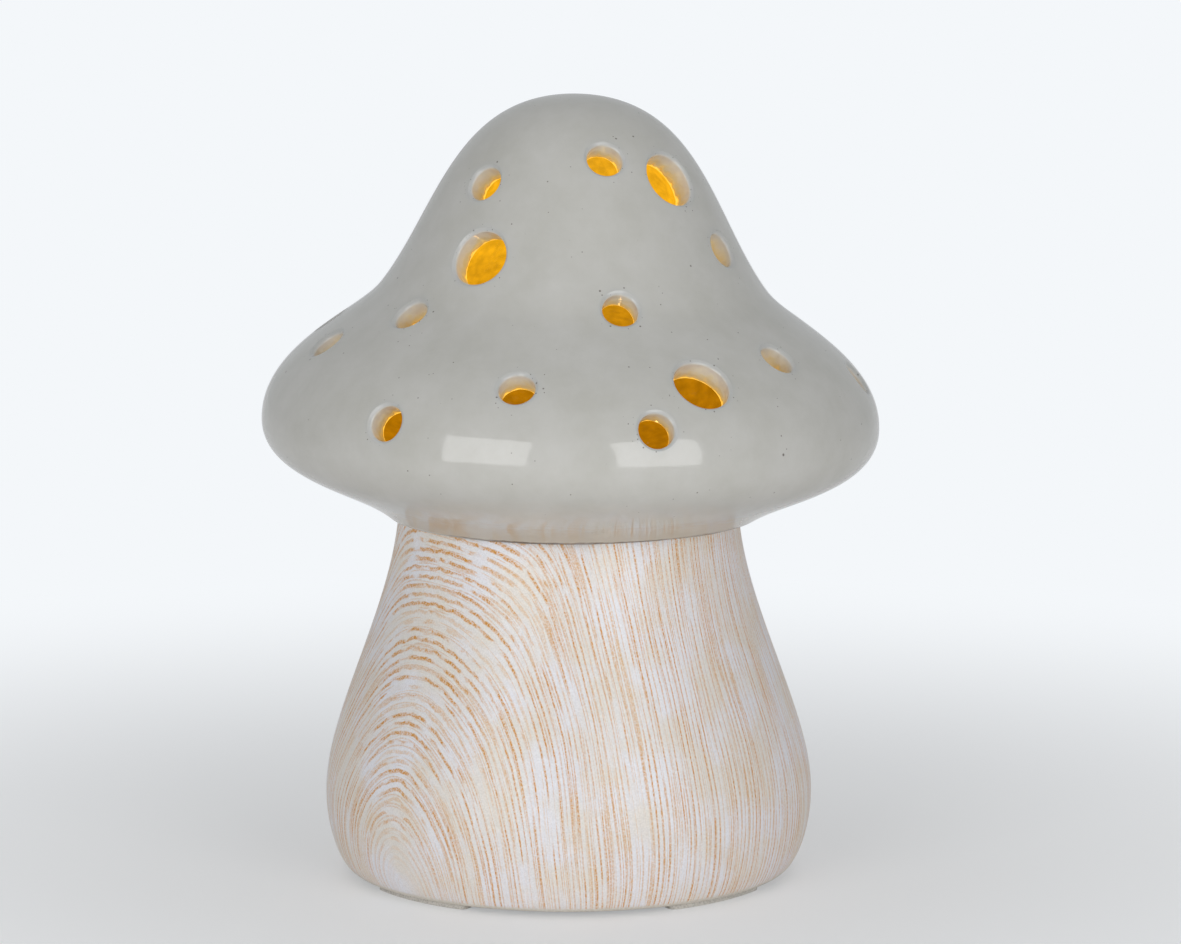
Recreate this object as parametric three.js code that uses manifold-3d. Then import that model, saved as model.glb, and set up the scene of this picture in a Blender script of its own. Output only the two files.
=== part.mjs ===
// A battery mushroom light: a pierced stoneware cap bonded to a hollow stoneware stem, with a
// round plastic light module in the foot that holds two cells, a timer board, a slide switch
// and the lamp. Millimetres, +Z up, origin at the middle of the underside, front towards -Y.
import * as THREE from "three";
import { mergeVertices } from "three/addons/utils/BufferGeometryUtils.js";
import Module from "manifold-3d";

const wasm = await Module();
wasm.setup();

// Foot pads
const PAD_THICKNESS = 1;
const PAD_WIDTH = 3.6;
const PAD_SWEEP = 34;
const PAD_COUNT = 4;

// Stem, measured up from its foot
const STEM_HEIGHT = 64.4;
const STEM_WALL = 4.5;
const FOOT_RING_WIDTH = 4.9;
const FOOT_LIP_HEIGHT = 8;
const BELLY_SWELL = 4.7;
const BELLY_RISE = 14;
const NECK_RADIUS = 31;
const NECK_TAPER = 5;

// Cap, measured up from the bond
const BOND_THICKNESS = 0.5;
const BOND_SETBACK = 0.8;
const CAP_HEIGHT = 76.3;
const CAP_WALL = 4.6;
const CAP_OVERHANG = 2.6;
const CAP_FLARE = 36;
const CAP_LEAN = 1.25;
const RIM_RADIUS = 56;
const RIM_RISE = 16.9;
const WAIST_RADIUS = 35;
const WAIST_RISE = 41.4;
const WAIST_SLOPE = 127;

// Punched holes: turn round the cap from the front towards +X in degrees, distance down the
// surface from the apex, and bore
const SMALL_BORE = 6.4;
const LARGE_BORE = 10.2;
const PUNCHES = [
  [15, 23, SMALL_BORE],
  [-44, 29, SMALL_BORE],
  [49, 27.5, LARGE_BORE],
  [-34, 43, LARGE_BORE],
  [64, 42, SMALL_BORE],
  [14, 52, SMALL_BORE],
  [-50, 56, SMALL_BORE],
  [-71, 67, SMALL_BORE],
  [-11, 71, SMALL_BORE],
  [28, 70, LARGE_BORE],
  [53, 66, SMALL_BORE],
  [-36, 80, SMALL_BORE],
  [16, 79, SMALL_BORE],
  [83, 75, SMALL_BORE],
  [104, 28, SMALL_BORE],
  [101, 55, LARGE_BORE],
  [124, 72, SMALL_BORE],
  [139, 42, SMALL_BORE],
  [146, 69, LARGE_BORE],
  [172, 72, SMALL_BORE],
  [176, 11, LARGE_BORE],
  [-168, 81, SMALL_BORE],
  [-160, 45, SMALL_BORE],
  [-143, 67, LARGE_BORE],
  [-110, 31, SMALL_BORE],
  [-118, 52, SMALL_BORE],
  [-112, 78, SMALL_BORE],
  [-93, 64, SMALL_BORE],
];

// Cells and their contacts
const CELL_DIAMETER = 10.5;
const CELL_LENGTH = 44.5;
const NUB_DIAMETER = 3.8;
const NUB_HEIGHT = 0.8;
const CELL_GAP = 0.8;
const CELL_CLEARANCE = 0.5;
const PLATE_THICKNESS = 0.4;
const PLATE_MARGIN = 0.7;
const DIMPLE_RADIUS = 1.5;
const DIMPLE_HEIGHT = 0.6;
const TAB_WIDTH = 2.4;
const TAB_HEIGHT = 3;
const SPRING_LENGTH = 4.8;
const SPRING_WIRE = 0.5;
const SPRING_TURNS = 4;
const SPRING_WIDE_RADIUS = 3.5;
const SPRING_NARROW_RADIUS = 2.2;

// Module housing and cover
const FIT = 0.2;
const SEAT = 0.3;
const BAY_WALL = 1.2;
const CEILING = 1.4;
const WIRE_SPACE = 3;
const HOUSING_MARGIN = 1;
const HOUSING_WALL = 1.5;
const MODULE_CLEARANCE = 0.4;
const FLANGE_RECESS = 0.6;
const FLANGE_THICKNESS = 2.6;
const FLANGE_OVERHANG = 3.6;
const GASKET_THICKNESS = 0.5;
const COVER_THICKNESS = 1.6;
const TURRET_RADIUS = 5.2;
const TURRET_HEIGHT = 7.4;
const TURRET_BORE = 2.3;

// Screws
const SCREW_RADIUS = 1.1;
const SCREW_HEAD_RADIUS = 2.1;
const SCREW_HEAD_HEIGHT = 1.2;
const SCREW_REACH = 4.2;
const SCREW_CLEARANCE = 0.5;
const BOSS_WALL = 1.2;
const COVER_SCREW_LENGTH = 7;
const COVER_SCREW_TURNS = [90, 226, 314];

// Battery door and its hinge
const DOOR_THICKNESS = 1.6;
const DOOR_OVERLAP = 1;
const DOOR_TAB_WIDTH = 8;
const DOOR_RIB_HEIGHT = 1.2;
const HINGE_OFFSET = 1.6;
const HINGE_LENGTH = 38;
const KNUCKLE_RADIUS = 0.9;
const HINGE_LIFT = 1.3;
const HINGE_SWING_GAP = 0.8;
const HINGE_PIN_RADIUS = 0.55;
const HINGE_PIN_LENGTH = 1.8;
const HINGE_PIN_CLEARANCE = 0.15;

// Switch and board
const SWITCH_LENGTH = 9;
const SWITCH_WIDTH = 4.6;
const SWITCH_HEIGHT = 4;
const SWITCH_WALL = 0.5;
const SWITCH_TRAVEL = 4;
const SLIDER_LENGTH = 2.2;
const SLIDER_WIDTH = 1.6;
const SLIDER_PROUD = 0.4;
const CARRIAGE_LENGTH = 3.6;
const CARRIAGE_HEIGHT = 1.4;
const BOARD_LENGTH = 21.6;
const BOARD_WIDTH = 8.2;
const BOARD_THICKNESS = 1.2;
const BOARD_GAP = 1;
const CHIP = [5, 4, 1.5];
const RESISTOR = [3.2, 1.6, 0.6];
const CRYSTAL_RADIUS = 1;
const CRYSTAL_LENGTH = 6;
const CRYSTAL_INSET = 1.8;

// Lamp and wires
const LAMP_RADIUS = 2.5;
const LAMP_FLANGE_RADIUS = 2.9;
const LAMP_FLANGE_HEIGHT = 1;
const LAMP_HEIGHT = 8.6;
const LEAD_SPACING = 2.4;
const WIRE_RADIUS = 0.5;
const WIRE_STEPS = 14;
const LAMP_LANDINGS = [-2, 0.5];
const BATTERY_LANDINGS = [-7, -9.3];

const ROUND_SEGMENTS = 40;
const SMALL_SEGMENTS = 16;
const PUNCH_SEGMENTS = 12;
const OVERSHOOT = 2;

// Heights
const footZ = PAD_THICKNESS;
const stemTopZ = footZ + STEM_HEIGHT;
const capFootZ = stemTopZ + BOND_THICKNESS;
const flangeZ = footZ + FLANGE_RECESS;
const floorTopZ = flangeZ + FLANGE_THICKNESS;
const doorTopZ = flangeZ + DOOR_THICKNESS;
const cellZ = doorTopZ + CELL_CLEARANCE + CELL_DIAMETER / 2;
const bayTopZ = cellZ + CELL_DIAMETER / 2 + CELL_CLEARANCE;
const ceilingTopZ = bayTopZ + CEILING;
const housingTopZ = ceilingTopZ + WIRE_SPACE;
const coverTopZ = housingTopZ + COVER_THICKNESS;
const turretTopZ = coverTopZ + TURRET_HEIGHT;
const boardZ = floorTopZ + SWITCH_HEIGHT;
const boardTopZ = boardZ + BOARD_THICKNESS;
const wireZ = ceilingTopZ + WIRE_SPACE / 2;

// Plan sizes
const cellY = (CELL_DIAMETER + CELL_GAP) / 2;
const bayWidth = 2 * CELL_DIAMETER + CELL_GAP + 2 * CELL_CLEARANCE;
const endParts = DIMPLE_HEIGHT + SPRING_LENGTH + 2 * PLATE_THICKNESS;
const bayLength = CELL_LENGTH + endParts + 5 * FIT;
const bayOuterX = bayLength / 2 + BAY_WALL;
const bayOuterY = bayWidth / 2 + BAY_WALL;
const plateX = bayLength / 2 - FIT - PLATE_THICKNESS;
const pivotY = -(bayOuterY + HINGE_OFFSET);
const hingeBackY = pivotY - HINGE_LIFT - SEAT;
const boardY = hingeBackY - BAY_WALL - BOARD_GAP - BOARD_WIDTH / 2;
const bayCorner = Math.hypot(bayOuterX, bayOuterY);
const boardCorner = Math.hypot(BOARD_LENGTH / 2, BOARD_WIDTH / 2 - boardY);
const housingRadius = Math.max(
  bayCorner + HOUSING_MARGIN,
  boardCorner + BOARD_GAP + HOUSING_WALL,
);
const flangeRadius = housingRadius + FLANGE_OVERHANG;
const boreRadius = housingRadius + MODULE_CLEARANCE;
const recessRadius = flangeRadius + MODULE_CLEARANCE;
const footRadius = recessRadius + FOOT_RING_WIDTH;
const bellyRadius = footRadius + BELLY_SWELL;
const mouthRadius = NECK_RADIUS - STEM_WALL;
const capFootRadius = NECK_RADIUS + CAP_OVERHANG;
const bossRadius = SCREW_RADIUS + SCREW_CLEARANCE + BOSS_WALL;
const coverBossRadius = SCREW_RADIUS + FIT + BOSS_WALL;
const coverScrewRing = housingRadius - HOUSING_WALL - coverBossRadius + SEAT;
const doorHalfLength = bayLength / 2 + DOOR_OVERLAP;
const doorHalfWidth = bayWidth / 2 + DOOR_OVERLAP;
const pivotZ = flangeZ + HINGE_LIFT;
const doorScrewY = bayOuterY + bossRadius - SEAT;

const degrees = THREE.MathUtils.degToRad;

// A closed three.js geometry as a solid that can be joined and cut.
function toSolid(geometry) {
  const loose = geometry.index ? geometry.toNonIndexed() : geometry;
  const bare = new THREE.BufferGeometry();
  bare.setAttribute("position", loose.getAttribute("position"));
  const merged = mergeVertices(bare, 1e-3);
  const vertProperties = merged.getAttribute("position").array;
  const triVerts = new Uint32Array(merged.index.array);
  return new wasm.Manifold(new wasm.Mesh({ numProp: 3, vertProperties, triVerts }));
}

function toGeometry(solid) {
  const { vertProperties, triVerts } = solid.getMesh();
  const geometry = new THREE.BufferGeometry();
  geometry.setAttribute("position", new THREE.BufferAttribute(vertProperties, 3));
  geometry.setIndex(new THREE.BufferAttribute(triVerts, 1));
  return geometry;
}

const join = (...parts) => toGeometry(parts.map(toSolid).reduce((all, next) => all.add(next)));
const cut = (body, ...tools) =>
  toGeometry(tools.map(toSolid).reduce((left, tool) => left.subtract(tool), toSolid(body)));

// A turned piece about Z, from [radius, height] points that run up its outer side.
function turned(points, segments = ROUND_SEGMENTS) {
  const outline = points.map(([radius, height]) => new THREE.Vector2(radius, height));
  return new THREE.LatheGeometry(outline, segments).rotateX(Math.PI / 2);
}

// A flat turned ring, which is a plain disc's edge where inner is 0.
function ring(inner, outer, low, high, segments = ROUND_SEGMENTS) {
  const bore = inner > 0 ? [[inner, high], [inner, low]] : [[0, high]];
  const start = inner > 0 ? [inner, low] : [0, low];
  return turned([start, [outer, low], [outer, high], ...bore], segments);
}

function rod(radius, low, high, x = 0, y = 0, segments = SMALL_SEGMENTS) {
  return ring(0, radius, low, high, segments).translate(x, y, 0);
}

// A block between two corners.
function block([x0, y0, z0], [x1, y1, z1]) {
  const box = new THREE.BoxGeometry(x1 - x0, y1 - y0, z1 - z0);
  return box.translate((x0 + x1) / 2, (y0 + y1) / 2, (z0 + z1) / 2);
}

// A rectangle with rounded corners, extruded from low to high.
function roundedPlate(halfX, halfY, radius, low, high) {
  const shape = new THREE.Shape();
  shape.absarc(halfX - radius, halfY - radius, radius, 0, Math.PI / 2);
  shape.absarc(radius - halfX, halfY - radius, radius, Math.PI / 2, Math.PI);
  shape.absarc(radius - halfX, radius - halfY, radius, Math.PI, 1.5 * Math.PI);
  shape.absarc(halfX - radius, radius - halfY, radius, 1.5 * Math.PI, 2 * Math.PI);
  const depth = high - low;
  const plate = new THREE.ExtrudeGeometry(shape, { depth, bevelEnabled: false, curveSegments: 4 });
  return plate.translate(0, 0, low);
}

// A smooth outline stretch whose two handles reach along the given directions by a share of
// the straight distance between its ends.
function stretch(start, startAngle, startReach, end, endAngle, endReach) {
  const span = start.distanceTo(end);
  const along = (angle, reach) =>
    new THREE.Vector2(Math.cos(degrees(angle)), Math.sin(degrees(angle))).multiplyScalar(span * reach);
  const leave = start.clone().add(along(startAngle, startReach));
  const arrive = end.clone().sub(along(endAngle, endReach));
  return new THREE.CubicBezierCurve(start, leave, arrive, end);
}

// Points along an outline, set back from it by a wall where one is given.
function outlinePoints(outline, count, wall = 0) {
  return Array.from({ length: count + 1 }, (_, i) => {
    const point = outline.getPointAt(i / count);
    const tangent = outline.getTangentAt(i / count);
    return [Math.max(point.x - tangent.y * wall, 0), point.y + tangent.x * wall];
  });
}

function stemOutline() {
  const foot = new THREE.Vector2(footRadius, footZ);
  const belly = new THREE.Vector2(bellyRadius, footZ + BELLY_RISE);
  const neck = new THREE.Vector2(NECK_RADIUS, stemTopZ);
  const outline = new THREE.CurvePath();
  outline.add(stretch(foot, 0, 0.12, belly, 90, 0.53));
  outline.add(stretch(belly, 90, 0.26, neck, 90 + NECK_TAPER, 0.34));
  return outline;
}

// The stem is a cast shell with an inward lip at the foot, bored for the module and recessed
// for its flange.
function stemShell() {
  const outline = stemOutline();
  const outer = outlinePoints(outline, 13);
  const lipZ = footZ + FOOT_LIP_HEIGHT;
  const inner = outlinePoints(outline, 11, STEM_WALL).filter(([, z]) => z > lipZ);
  const shoulder = [inner[0][0] - STEM_WALL / 2, lipZ];
  const recessZ = floorTopZ + GASKET_THICKNESS;
  const mouth = [mouthRadius, stemTopZ];
  const bore = [[boreRadius, lipZ], [boreRadius, recessZ], [recessRadius, recessZ]];
  const wall = [mouth, ...inner.slice(0, -1).reverse(), shoulder];
  const start = [recessRadius, footZ];
  return turned([start, ...outer, ...wall, ...bore, start]);
}

function footPad(index) {
  const middle = footRadius - FOOT_RING_WIDTH / 2;
  const half = degrees(PAD_SWEEP / 2);
  const shape = new THREE.Shape();
  shape.absarc(0, 0, middle + PAD_WIDTH / 2, -half, half);
  shape.absarc(0, 0, middle - PAD_WIDTH / 2, half, -half, true);
  const depth = PAD_THICKNESS;
  const pad = new THREE.ExtrudeGeometry(shape, { depth, bevelEnabled: false, curveSegments: 6 });
  return pad.rotateZ(degrees(45 + (index * 360) / PAD_COUNT));
}

function bondRing() {
  return ring(mouthRadius + BOND_SETBACK, NECK_RADIUS - BOND_SETBACK, stemTopZ, capFootZ);
}

function capOutline() {
  const foot = new THREE.Vector2(capFootRadius, capFootZ);
  const rim = new THREE.Vector2(RIM_RADIUS, capFootZ + RIM_RISE);
  const waist = new THREE.Vector2(WAIST_RADIUS, capFootZ + WAIST_RISE);
  const apex = new THREE.Vector2(0, capFootZ + CAP_HEIGHT);
  const outline = new THREE.CurvePath();
  outline.add(stretch(foot, CAP_FLARE, 0.36, rim, 90, 0.35));
  outline.add(stretch(rim, 90, 0.39, waist, WAIST_SLOPE, 0.22));
  outline.add(stretch(waist, WAIST_SLOPE, 0.34, apex, 180, 0.45));
  return outline;
}

// One punch, square to the surface of the cap.
function punch(outline, [turn, drop, bore]) {
  const station = 1 - drop / outline.getLength();
  const point = outline.getPointAt(station);
  const tangent = outline.getTangentAt(station);
  const towards = new THREE.Vector3(tangent.y * Math.sin(degrees(turn)), 0, -tangent.x);
  towards.y = -tangent.y * Math.cos(degrees(turn));
  const length = CAP_WALL + 2 * OVERSHOOT;
  const pin = new THREE.CylinderGeometry(bore / 2, bore / 2, length, PUNCH_SEGMENTS);
  pin.translate(0, -CAP_WALL / 2, 0);
  pin.applyQuaternion(new THREE.Quaternion().setFromUnitVectors(new THREE.Vector3(0, 1, 0), towards));
  const x = point.x * Math.sin(degrees(turn));
  const y = -point.x * Math.cos(degrees(turn));
  return pin.translate(x, y, point.y);
}

// The cap is thrown a little askew of its foot, which is trimmed level to sit on the stem.
function capShell() {
  const outline = capOutline();
  const trimDepth = capFootRadius * Math.tan(degrees(CAP_LEAN)) + OVERSHOOT;
  const outer = outlinePoints(outline, 19);
  const inner = outlinePoints(outline, 14, CAP_WALL).reverse();
  const collar = [[mouthRadius, capFootZ - trimDepth], [capFootRadius, capFootZ - trimDepth]];
  const shell = turned([...inner, ...collar, ...outer]);
  const punches = PUNCHES.map((place) => punch(outline, place));
  const lean = (piece) => {
    piece.translate(0, 0, -capFootZ);
    return piece.rotateY(degrees(CAP_LEAN)).translate(0, 0, capFootZ);
  };
  const wide = capFootRadius + OVERSHOOT + RIM_RADIUS;
  const trim = block([-wide, -wide, capFootZ - 2 * trimDepth - OVERSHOOT], [wide, wide, capFootZ]);
  return cut(lean(shell), ...punches.map(lean), trim);
}

function coverScrewPlaces() {
  return COVER_SCREW_TURNS.map((turn) => {
    const angle = degrees(turn);
    return [coverScrewRing * Math.cos(angle), coverScrewRing * Math.sin(angle)];
  });
}

// The two board posts stand either side of the switch.
function boardPosts() {
  const x = (BOARD_LENGTH + SWITCH_LENGTH) / 4 + FIT;
  return [-x, x].map((side) => rod(SCREW_RADIUS, floorTopZ - FIT, boardZ, side, boardY));
}

function housingWalls() {
  const low = floorTopZ - FIT;
  const wall = ring(housingRadius - HOUSING_WALL, housingRadius, low, housingTopZ);
  const bay = block([-bayOuterX, -bayOuterY, low], [bayOuterX, bayOuterY, ceilingTopZ]);
  const hingeEnd = HINGE_LENGTH / 2 + FIT + HINGE_PIN_LENGTH + BAY_WALL;
  const hingeRib = block(
    [-hingeEnd, hingeBackY - BAY_WALL, low],
    [hingeEnd, -bayOuterY + FIT, pivotZ + KNUCKLE_RADIUS + SEAT + BAY_WALL],
  );
  const doorBoss = rod(bossRadius, low, floorTopZ + SCREW_REACH + BOSS_WALL, 0, doorScrewY);
  const coverBosses = coverScrewPlaces().map(([x, y]) =>
    rod(coverBossRadius, housingTopZ - COVER_SCREW_LENGTH - BOSS_WALL, housingTopZ, x, y),
  );
  return [wall, bay, hingeRib, doorBoss, ...coverBosses, ...boardPosts()];
}

// The recess that the door closes flush, deeper along the hinge.
function doorRecess() {
  const low = flangeZ - OVERSHOOT;
  const high = doorTopZ + FIT;
  const plate = block(
    [-doorHalfLength - SEAT, -doorHalfWidth - HINGE_SWING_GAP, low],
    [doorHalfLength + SEAT, doorHalfWidth + SEAT, high],
  );
  const tabEnd = doorScrewY + SCREW_HEAD_RADIUS + BOSS_WALL + SEAT;
  const tabHalf = DOOR_TAB_WIDTH / 2 + SEAT;
  const tab = block([-tabHalf, 0, low], [tabHalf, tabEnd, high]);
  const hingeHalf = HINGE_LENGTH / 2 + SEAT;
  const hinge = block(
    [-hingeHalf, hingeBackY, low],
    [hingeHalf, -bayWidth / 2, pivotZ + KNUCKLE_RADIUS + SEAT],
  );
  const pinRadius = HINGE_PIN_RADIUS + HINGE_PIN_CLEARANCE;
  const pinHalf = HINGE_LENGTH / 2 + HINGE_PIN_LENGTH + SEAT;
  const pins = rod(pinRadius, -pinHalf, pinHalf).rotateY(Math.PI / 2).translate(0, pivotY, pivotZ);
  return [plate, tab, hinge, pins];
}

// Slots in the bay's ceiling for the solder tabs of the two end contacts.
function tabSlots() {
  const x = -plateX - PLATE_THICKNESS - FIT;
  return [-cellY, cellY].map((y) =>
    block(
      [x, y - TAB_WIDTH / 2 - FIT, bayTopZ - OVERSHOOT],
      [x + PLATE_THICKNESS + 2 * FIT, y + TAB_WIDTH / 2 + FIT, ceilingTopZ + OVERSHOOT],
    ),
  );
}

function moduleHousing() {
  const flange = ring(0, flangeRadius, flangeZ, floorTopZ);
  const bay = roundedPlate(bayLength / 2, bayWidth / 2, 1, flangeZ - OVERSHOOT, bayTopZ);
  const boreRadiusOf = SCREW_RADIUS + SCREW_CLEARANCE;
  const doorBore = rod(boreRadiusOf, doorTopZ, floorTopZ + SCREW_REACH, 0, doorScrewY);
  const low = housingTopZ - COVER_SCREW_LENGTH;
  const coverBores = coverScrewPlaces().map(([x, y]) =>
    rod(SCREW_RADIUS + FIT, low, housingTopZ + OVERSHOOT, x, y),
  );
  const slotLow = -SLIDER_LENGTH / 2 - SEAT;
  const slotHigh = SWITCH_TRAVEL + SLIDER_LENGTH / 2 + SEAT;
  const slotHalf = SLIDER_WIDTH / 2 + SEAT;
  const slot = block(
    [slotLow - SWITCH_TRAVEL / 2, boardY - slotHalf, flangeZ - OVERSHOOT],
    [slotHigh - SWITCH_TRAVEL / 2, boardY + slotHalf, floorTopZ + FIT],
  );
  const tools = [bay, doorBore, slot, ...coverBores, ...doorRecess(), ...tabSlots()];
  return cut(join(flange, ...housingWalls()), ...tools);
}

function moduleGasket() {
  return ring(boreRadius + FIT, flangeRadius - FIT, floorTopZ, floorTopZ + GASKET_THICKNESS);
}

function moduleCover() {
  const disc = ring(0, housingRadius, housingTopZ, coverTopZ);
  const turret = turned(
    [
      [0, housingTopZ + FIT],
      [TURRET_RADIUS + 3, housingTopZ + FIT],
      [TURRET_RADIUS + 3, coverTopZ],
      [TURRET_RADIUS, coverTopZ + 2.4],
      [TURRET_RADIUS - 0.6, turretTopZ],
      [0, turretTopZ],
    ],
    ROUND_SEGMENTS / 2,
  );
  const leadBore = rod(TURRET_BORE, housingTopZ - OVERSHOOT, turretTopZ + OVERSHOOT);
  const screwBores = coverScrewPlaces().map(([x, y]) =>
    rod(SCREW_RADIUS + FIT, housingTopZ - OVERSHOOT, coverTopZ + OVERSHOOT, x, y),
  );
  return cut(join(disc, turret), leadBore, ...screwBores);
}

// A pan-headed screw that stands on the cover and points down.
function coverScrew([x, y]) {
  const tipZ = housingTopZ - COVER_SCREW_LENGTH + FIT;
  const headTopZ = coverTopZ + SCREW_HEAD_HEIGHT;
  const screw = turned(
    [
      [0, tipZ],
      [SCREW_RADIUS, tipZ + SCREW_RADIUS],
      [SCREW_RADIUS, coverTopZ],
      [SCREW_HEAD_RADIUS, coverTopZ],
      [SCREW_HEAD_RADIUS, headTopZ - 0.5],
      [SCREW_HEAD_RADIUS - 0.7, headTopZ],
      [0, headTopZ],
    ],
    SMALL_SEGMENTS,
  );
  return screw.translate(x, y, 0);
}

// The outline of a countersunk screw, wider by a clearance where it is used as a tool.
function countersunk(clearance, low, high) {
  const head = SCREW_HEAD_RADIUS + clearance;
  const shank = SCREW_RADIUS + clearance;
  const rimZ = flangeZ + FIT;
  const points = [[head, low], [head, rimZ], [shank, rimZ + head - shank], [shank, high - shank]];
  return turned([[0, low], ...points, [0, high]], SMALL_SEGMENTS).translate(0, doorScrewY, 0);
}

function doorScrew() {
  return countersunk(0, flangeZ + FIT / 2, floorTopZ + SCREW_REACH - SCREW_CLEARANCE);
}

// The knuckle runs along the door's hinged edge, with a stub pin at each end.
function hingeEdge() {
  const shape = new THREE.Shape();
  shape.moveTo(-doorHalfWidth + DOOR_OVERLAP, flangeZ);
  shape.lineTo(-doorHalfWidth + DOOR_OVERLAP, doorTopZ);
  shape.lineTo(-doorHalfWidth - FIT, doorTopZ);
  shape.absarc(pivotY, pivotZ, KNUCKLE_RADIUS, Math.PI / 2, 1.5 * Math.PI);
  const depth = HINGE_LENGTH;
  const edge = new THREE.ExtrudeGeometry(shape, { depth, bevelEnabled: false, curveSegments: 6 });
  edge.translate(0, 0, -HINGE_LENGTH / 2);
  return edge.applyMatrix4(new THREE.Matrix4().set(0, 0, 1, 0, 1, 0, 0, 0, 0, 1, 0, 0, 0, 0, 0, 1));
}

function batteryDoor() {
  const plate = roundedPlate(doorHalfLength, doorHalfWidth, 1.2, flangeZ, doorTopZ);
  const tabHalf = DOOR_TAB_WIDTH / 2;
  const tabEnd = doorScrewY + SCREW_HEAD_RADIUS + BOSS_WALL;
  const tab = block([-tabHalf, doorHalfWidth - 2, flangeZ], [tabHalf, tabEnd, doorTopZ]);
  const pinHalf = HINGE_LENGTH / 2 + HINGE_PIN_LENGTH;
  const pins = rod(HINGE_PIN_RADIUS, -pinHalf, pinHalf).rotateY(Math.PI / 2);
  pins.translate(0, pivotY, pivotZ);
  const ribHalf = CELL_LENGTH / 2 - NUB_HEIGHT - SPRING_LENGTH;
  const ribTopZ = doorTopZ + DOOR_RIB_HEIGHT;
  const rib = block([-ribHalf, -BAY_WALL / 2, doorTopZ - FIT], [ribHalf, BAY_WALL / 2, ribTopZ]);
  const hole = countersunk(FIT, flangeZ - FIT, doorTopZ + 2 * OVERSHOOT);
  return cut(join(plate, tab, hingeEdge(), pins, rib), hole);
}

// A cell lies along X. side is +1 where its nub points to +X.
function cell(side) {
  const half = CELL_LENGTH / 2;
  const nub = NUB_DIAMETER / 2;
  const radius = CELL_DIAMETER / 2;
  const points = [
    [0, -half],
    [radius - 0.8, -half],
    [radius, 0.5 - half],
    [radius, half - NUB_HEIGHT - 0.5],
    [radius - 0.8, half - NUB_HEIGHT],
    [nub, half - NUB_HEIGHT],
    [nub, half],
    [0, half],
  ];
  const body = turned(points, SMALL_SEGMENTS).rotateY((side * Math.PI) / 2);
  return body.translate(side * (plateX - DIMPLE_HEIGHT - FIT / 2 - half), -side * cellY, cellZ);
}

const plateLowZ = cellZ - CELL_DIAMETER / 2 + PLATE_MARGIN;
const plateHighZ = cellZ + CELL_DIAMETER / 2 - PLATE_MARGIN;

// A pressed bump that meets a cell's nub.
function dimple(side, y) {
  const flank = [[DIMPLE_RADIUS, 0], [DIMPLE_RADIUS / 2, DIMPLE_HEIGHT]];
  const bump = turned([[0, 0], ...flank, [0, DIMPLE_HEIGHT]], 12);
  return bump.rotateY((-side * Math.PI) / 2).translate(side * plateX, y, cellZ);
}

// An end contact stands in front of the bay's -X wall, with its solder tab through the ceiling.
function endContact(y) {
  const half = CELL_DIAMETER / 2 - PLATE_MARGIN;
  const x0 = -plateX - PLATE_THICKNESS;
  const plate = block([x0, y - half, plateLowZ], [-plateX, y + half, plateHighZ]);
  const tabHalf = TAB_WIDTH / 2;
  const tabTopZ = ceilingTopZ + TAB_HEIGHT - WIRE_SPACE / 2;
  const tab = block([x0, y - tabHalf, plateHighZ - 1], [-plateX, y + tabHalf, tabTopZ]);
  return join(plate, tab);
}

function bridgeContact() {
  const half = cellY + CELL_DIAMETER / 2 - PLATE_MARGIN;
  return block([plateX, -half, plateLowZ], [plateX + PLATE_THICKNESS, half, plateHighZ]);
}

// The least distance between turns of a wound tube, measured between points half a turn or
// more apart.
function leastGap(points, perTurn, thickness) {
  let least = Infinity;
  for (let i = 0; i < points.length; i += 1) {
    for (let j = i + perTurn / 2; j < points.length; j += 1) {
      least = Math.min(least, points[i].distanceTo(points[j]) - thickness);
    }
  }
  return least;
}

// A tapered coil from its plate to the flat end of a cell, as one tube of five sides with a
// straight end square to each seat.
function coilSpring(side) {
  const perTurn = 8;
  const steps = SPRING_TURNS * perTurn;
  const ends = SPRING_WIRE;
  const rise = SPRING_LENGTH - 2 * ends;
  const at = (share) => {
    const radius = THREE.MathUtils.lerp(SPRING_WIDE_RADIUS, SPRING_NARROW_RADIUS, share);
    const angle = 2 * Math.PI * SPRING_TURNS * share;
    const x = plateX - FIT - ends - rise * share;
    return new THREE.Vector3(x, radius * Math.cos(angle), radius * Math.sin(angle));
  };
  const coil = Array.from({ length: steps + 1 }, (_, i) => at(i / steps));
  const first = coil[0].clone().setX(plateX - FIT);
  const last = coil[steps].clone().setX(plateX - FIT - SPRING_LENGTH);
  const path = [first, ...coil, last];
  const wire = SPRING_WIRE / 2;
  const section = Array.from({ length: 5 }, (_, i) => {
    return new THREE.Vector2(wire, 0).rotateAround(new THREE.Vector2(), (i * 2 * Math.PI) / 5);
  });
  const tube = sweep(path, section);
  console.log("spring: least gap between turns", leastGap(coil, perTurn, SPRING_WIRE).toFixed(2), "mm");
  if (side < 0) tube.rotateZ(Math.PI);
  return tube.translate(0, side * cellY, cellZ);
}

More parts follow.
